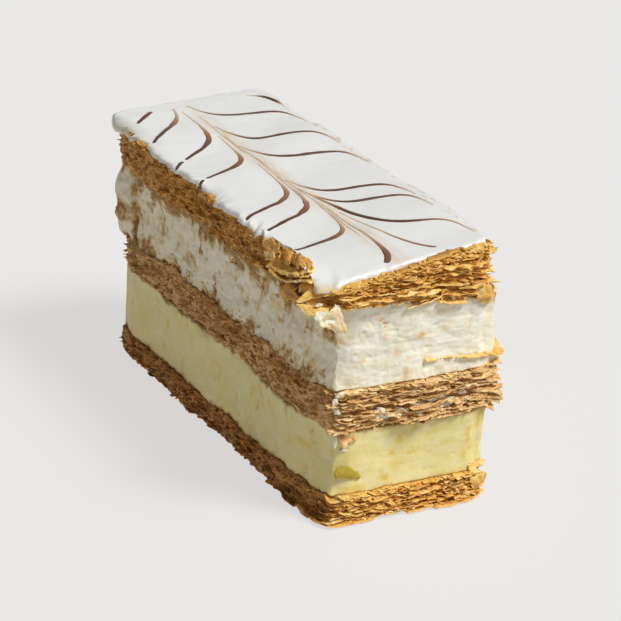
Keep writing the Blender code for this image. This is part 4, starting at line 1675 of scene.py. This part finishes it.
SPOT_EDGE = 0.16  # how soft the rim of a spot is


def spots_group():
    """A mask of islands: Size in mm, and Cover from 0, none, to 1, all over."""
    group, given, result = new_group(
        "food spots", (("Size", "Float", 1.0), ("Stretch", "Vector", (1, 1, 1)), ("Cover", "Float", 0.2)),
        (("Mask", "Float"),))
    islands = grained(group, given["Size"], given["Stretch"], 2.0)
    line = math_of(group, "SUBTRACT", 1.0, given["Cover"])
    end = math_of(group, "ADD", line, SPOT_EDGE)
    group.links.new(mapped(group, islands, line, end, "SMOOTHSTEP"), result["Mask"])
    return group


grain = grain_group()
spots = spots_group()
print("node groups:", grain.name, "and", spots.name)


# %% A material to start from
def new_material(name, roughness, specular=0.5, sheen=0.0, scatter=0.0, scatter_depth=1.0):
    material = bpy.data.materials.new(name)
    material.use_nodes = True
    tree = material.node_tree
    shader = tree.nodes["Principled BSDF"]
    shader.inputs["Roughness"].default_value = roughness
    shader.inputs["Specular IOR Level"].default_value = specular
    shader.inputs["Sheen Weight"].default_value = sheen
    shader.inputs["Subsurface Weight"].default_value = scatter
    shader.inputs["Subsurface Radius"].default_value = (1.0, 0.75, 0.45)
    shader.inputs["Subsurface Scale"].default_value = scatter_depth * MM
    return material, tree, shader


def attribute(tree, name):
    return add_node(tree, "Attribute", attribute_name=name).outputs["Fac"]


def surface(tree, shader, colour, height, depth, strength=0.6):
    """Gives the shader a colour, and a fine bump with its depth in mm."""
    tree.links.new(colour, shader.inputs["Base Color"])
    made = add_node(tree, "Bump", {"Height": height, "Distance": depth * MM, "Strength": strength})
    tree.links.new(made.outputs["Normal"], shader.inputs["Normal"])


def ramp(tree, value, stops):
    """A colour ramp with (place, colour) stops."""
    made = add_node(tree, "ValToRGB", {"Fac": value})
    elements = made.color_ramp.elements
    while len(elements) < len(stops):
        elements.new(0.5)
    for element, (place, colour) in zip(elements, stops):
        element.position = place
        element.color = (*colour, 1.0)
    return made.outputs["Color"]


# %% [markdown]
# ## Baked pastry
#
# Baked leaves run from dark brown in the gaps to pale gold on thin edges, and the dark in the gaps
# is painted shade. Each leaf and shard carries its own tone, which on the long left side is painted
# darker, partly for its shade and partly for a browner crust, and on each leaf's upper face paler,
# as lit from above. Fine stretched grain is added to it, a ramp turns the sum into a colour, and the
# colour is darkened with depth into the sheet, which paints the shade between the leaves. The
# middle sheet soaked up cream, so it is greyer and paler.

# %% Pastry finishes
GOLDEN = ((0.0, (0.17, 0.060, 0.011)), (0.25, (0.46, 0.200, 0.040)), (0.5, (0.78, 0.415, 0.080)),
          (0.75, (0.89, 0.560, 0.150)), (1.0, (0.95, 0.740, 0.340)))
SOAKED = ((0.0, (0.16, 0.075, 0.026)), (0.25, (0.44, 0.230, 0.075)), (0.5, (0.74, 0.440, 0.165)),
          (0.75, (0.88, 0.610, 0.280)), (1.0, (0.94, 0.770, 0.490)))


def pastry_finish(name, stops):
    material, tree, shader = new_material(name, 0.5, specular=0.4, scatter=0.08, scatter_depth=0.5)
    fine = grained(tree, 0.45, (2.2, 2.2, 0.8), 4.0)
    broad = grained(tree, 3.0, (1.5, 1.5, 0.6))
    value = math_of(tree, "MULTIPLY", attribute(tree, "tone"), 0.5)
    value = math_of(tree, "MULTIPLY_ADD", fine, 0.42, value)
    value = math_of(tree, "MULTIPLY_ADD", broad, 0.22, value)
    colour = ramp(tree, value, stops)
    # painted shade: the colour is darkened by the depth each mesh carries, for shade in gaps and hollows
    cavity_shade = math_of(tree, "MULTIPLY", attribute(tree, "depth"), 0.72, clamp=True)
    colour = blend(tree, cavity_shade, colour, (0.50, 0.29, 0.18), "MULTIPLY")
    tree.links.new(math_of(tree, "MULTIPLY_ADD", fine, 0.3, 0.35), shader.inputs["Roughness"])
    surface(tree, shader, colour, fine, 0.12)
    return material


pastry_golden = pastry_finish("pastry_golden", GOLDEN)
pastry_soaked = pastry_finish("pastry_soaked", SOAKED)
print("pastry finishes:", pastry_golden.name, pastry_soaked.name)

# %% [markdown]
# ## Cream and custard
#
# Both are pale and slightly see-through, so light spreads a little under the surface. The smears
# painted on each mesh turn it brown, finer streaks break them up, and spots give flecks.

# %% Filling finishes
FLECK_COVER = 0.22  # the share of the surface that the flecks cover
PALER = 2.4  # how much paler the palest of a brown smear is than its darkest


def filling_finish(name, roughness, stretch, pale, rich, ochre, brown, golden):
    """Runs from pale to rich, with golden flecks and smears that go from ochre to brown."""
    material, tree, shader = new_material(name, roughness, specular=0.35, scatter=0.25, scatter_depth=1.4)
    cloud = grained(tree, 5.0, (1.0, 1.0, 0.8), 3.0)
    fine = grained(tree, 0.7, stretch, 4.0)
    flecks = spotted(tree, 1.6, stretch, FLECK_COVER)
    colour = blend(tree, cloud, pale, rich)
    speckle = math_of(tree, "MULTIPLY_ADD", flecks, 0.25, attribute(tree, "fleck"), clamp=True)
    colour = blend(tree, math_of(tree, "MULTIPLY", speckle, 0.9), colour, golden)
    streak = math_of(tree, "MULTIPLY_ADD", grained(tree, 1.3, stretch, 4.0), 1.1, 0.35)
    smear = math_of(tree, "MULTIPLY", attribute(tree, "smear"), streak, clamp=True)
    colour = blend(tree, math_of(tree, "MULTIPLY", smear, 1.6, clamp=True), colour, ochre)
    brown = blend(tree, fine, brown, [PALER * c for c in brown])
    colour = blend(tree, mapped(tree, smear, 0.2, 0.85), colour, brown)
    surface(tree, shader, colour, fine, 0.10, 0.45)
    return material


cream_finish = filling_finish(
    "whipped_cream", 0.55, (1.3, 1.3, 1.0), (0.94, 0.915, 0.79), (0.91, 0.86, 0.65), (0.80, 0.60, 0.24),
    (0.20, 0.10, 0.020), (0.82, 0.53, 0.17))
custard_finish = filling_finish(
    "custard", 0.42, (1.2, 1.2, 1.0), (0.90, 0.80, 0.43), (0.85, 0.71, 0.26), (0.72, 0.53, 0.18),
    (0.22, 0.12, 0.035), (0.78, 0.54, 0.035))


def lump_finish():
    material, tree, shader = new_material("set_egg", 0.3, specular=0.5, scatter=0.2, scatter_depth=1.0)
    fine = grained(tree, 0.8, (2.0, 1.0, 1.0), 3.0)
    colour = blend(tree, fine, (0.36, 0.27, 0.012), (0.58, 0.43, 0.03))
    surface(tree, shader, colour, fine, 0.08)
    return material


egg_finish = lump_finish()

# %% [markdown]
# ## Icing and its lines
#
# Icing is white and glossy. Where the knife tip was drawn through the lines, it dragged tan threads
# into the white, along the spine and down the right edge. The brown lines take their colour from
# the strength kept on them.

# %% Icing finishes
RIGHT_DRAG = 22.2  # where the knife tip was drawn back along the right edge
NEAR_FADE, FAR_FADE = 8, 25  # mm over which a drag fades at its near and its far end


def drag_mask(tree, place, middle, width, near, far):
    """1 along a drag of the knife tip, fading over its width and towards both its ends."""
    parts = add_node(tree, "SeparateXYZ", {0: place}).outputs
    off = math_of(tree, "ABSOLUTE", math_of(tree, "SUBTRACT", parts["X"], middle * MM))
    across = mapped(tree, off, width * MM, 0.0, "SMOOTHSTEP")
    start = mapped(tree, parts["Y"], (near - NEAR_FADE) * MM, near * MM)
    end = mapped(tree, parts["Y"], far * MM, (far - FAR_FADE) * MM)
    return math_of(tree, "MULTIPLY", math_of(tree, "MULTIPLY", start, end), across)


def icing_finish():
    material, tree, shader = new_material("icing", 0.28, specular=0.5, scatter=0.15, scatter_depth=0.8)
    place = tree.nodes.new("ShaderNodeTexCoord").outputs["Object"]
    threads = grained(tree, 0.5, (1, 26, 1))
    dots = spotted(tree, 1.3, (1, 3, 1), 0.42)
    spine = math_of(tree, "MULTIPLY", drag_mask(tree, place, SPINE + 0.4, 4.2, -60, 62), threads)
    right = math_of(tree, "MULTIPLY", drag_mask(tree, place, RIGHT_DRAG, 2.2, -64, 66), dots)
    spine, right = math_of(tree, "MULTIPLY", spine, 0.8), math_of(tree, "MULTIPLY", right, 0.7)
    tan = math_of(tree, "ADD", spine, right, clamp=True)
    cloud = grained(tree, 9.0)
    white = blend(tree, cloud, (0.87, 0.87, 0.855), (0.905, 0.905, 0.89))
    colour = blend(tree, tan, white, (0.72, 0.50, 0.30))
    soaked = math_of(tree, "MULTIPLY", math_of(tree, "MULTIPLY", attribute(tree, "thin"), 0.55), cloud)
    colour = blend(tree, soaked, colour, (0.74, 0.57, 0.30))
    surface(tree, shader, colour, grained(tree, 1.8), 0.03, 0.5)
    return material


PIPED = ((0.0, (0.80, 0.66, 0.50)), (0.25, (0.68, 0.45, 0.26)), (0.6, (0.34, 0.155, 0.068)),
         (0.85, (0.17, 0.068, 0.035)), (1.0, (0.115, 0.048, 0.028)))


def line_finish():
    material, tree, shader = new_material("piped_brown", 0.3, specular=0.5)
    fine = grained(tree, 0.5, detail=3.0)
    value = math_of(tree, "SUBTRACT", attribute(tree, "strength"), 0.06)
    value = math_of(tree, "MULTIPLY_ADD", fine, 0.12, value)
    surface(tree, shader, ramp(tree, value, PIPED), fine, 0.03, 0.4)
    return material


icing_white, piped_brown = icing_finish(), line_finish()
print("finishes:", ", ".join(sorted(material.name for material in bpy.data.materials)))

# %% [markdown]
# ## Putting it together
#
# Every piece gets its finish and rides on the one body. The layers of the frame are hidden where
# finer pieces stand for them.

# %% Finishes and bodies
def finish(piece, material, slot, *nodes):
    piece.data.materials.clear()
    piece.data.materials.append(material)
    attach(piece, "root")
    if nodes:
        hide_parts(*nodes)


leaves = {"pastry_base": base_leaves, "pastry_middle": middle_leaves, "pastry_top": top_leaves}
for node in leaves:
    material = pastry_soaked if node == "pastry_middle" else pastry_golden
    for piece in (leaves[node], hearts[node], shards[node], plates[node], rims[node], crumbs[node]):
        finish(piece, material, "pastry", node)
for piece in (left_cluster, front_corner, front_curls, top_fan, base_fan, cream_leaf, cream_crumbs):
    finish(piece, pastry_golden, "pastry")
for piece in (hanging_bit, middle_fan, cream_crumbs_low):
    finish(piece, pastry_soaked, "pastry")
finish(cream, cream_finish, "cream", "whipped_cream")
finish(corner_scrap, cream_finish, "cream")
for piece in (squeezed_cream, cream_bits, cream_bits_top):
    paint(piece.data, "smear", 0.1)
    finish(piece, cream_finish, "cream")
finish(custard, custard_finish, "custard", "custard")
finish(custard_lump, egg_finish, "custard")
finish(icing, icing_white, "icing", "icing")
finish(icing_lines, piped_brown, "icing")
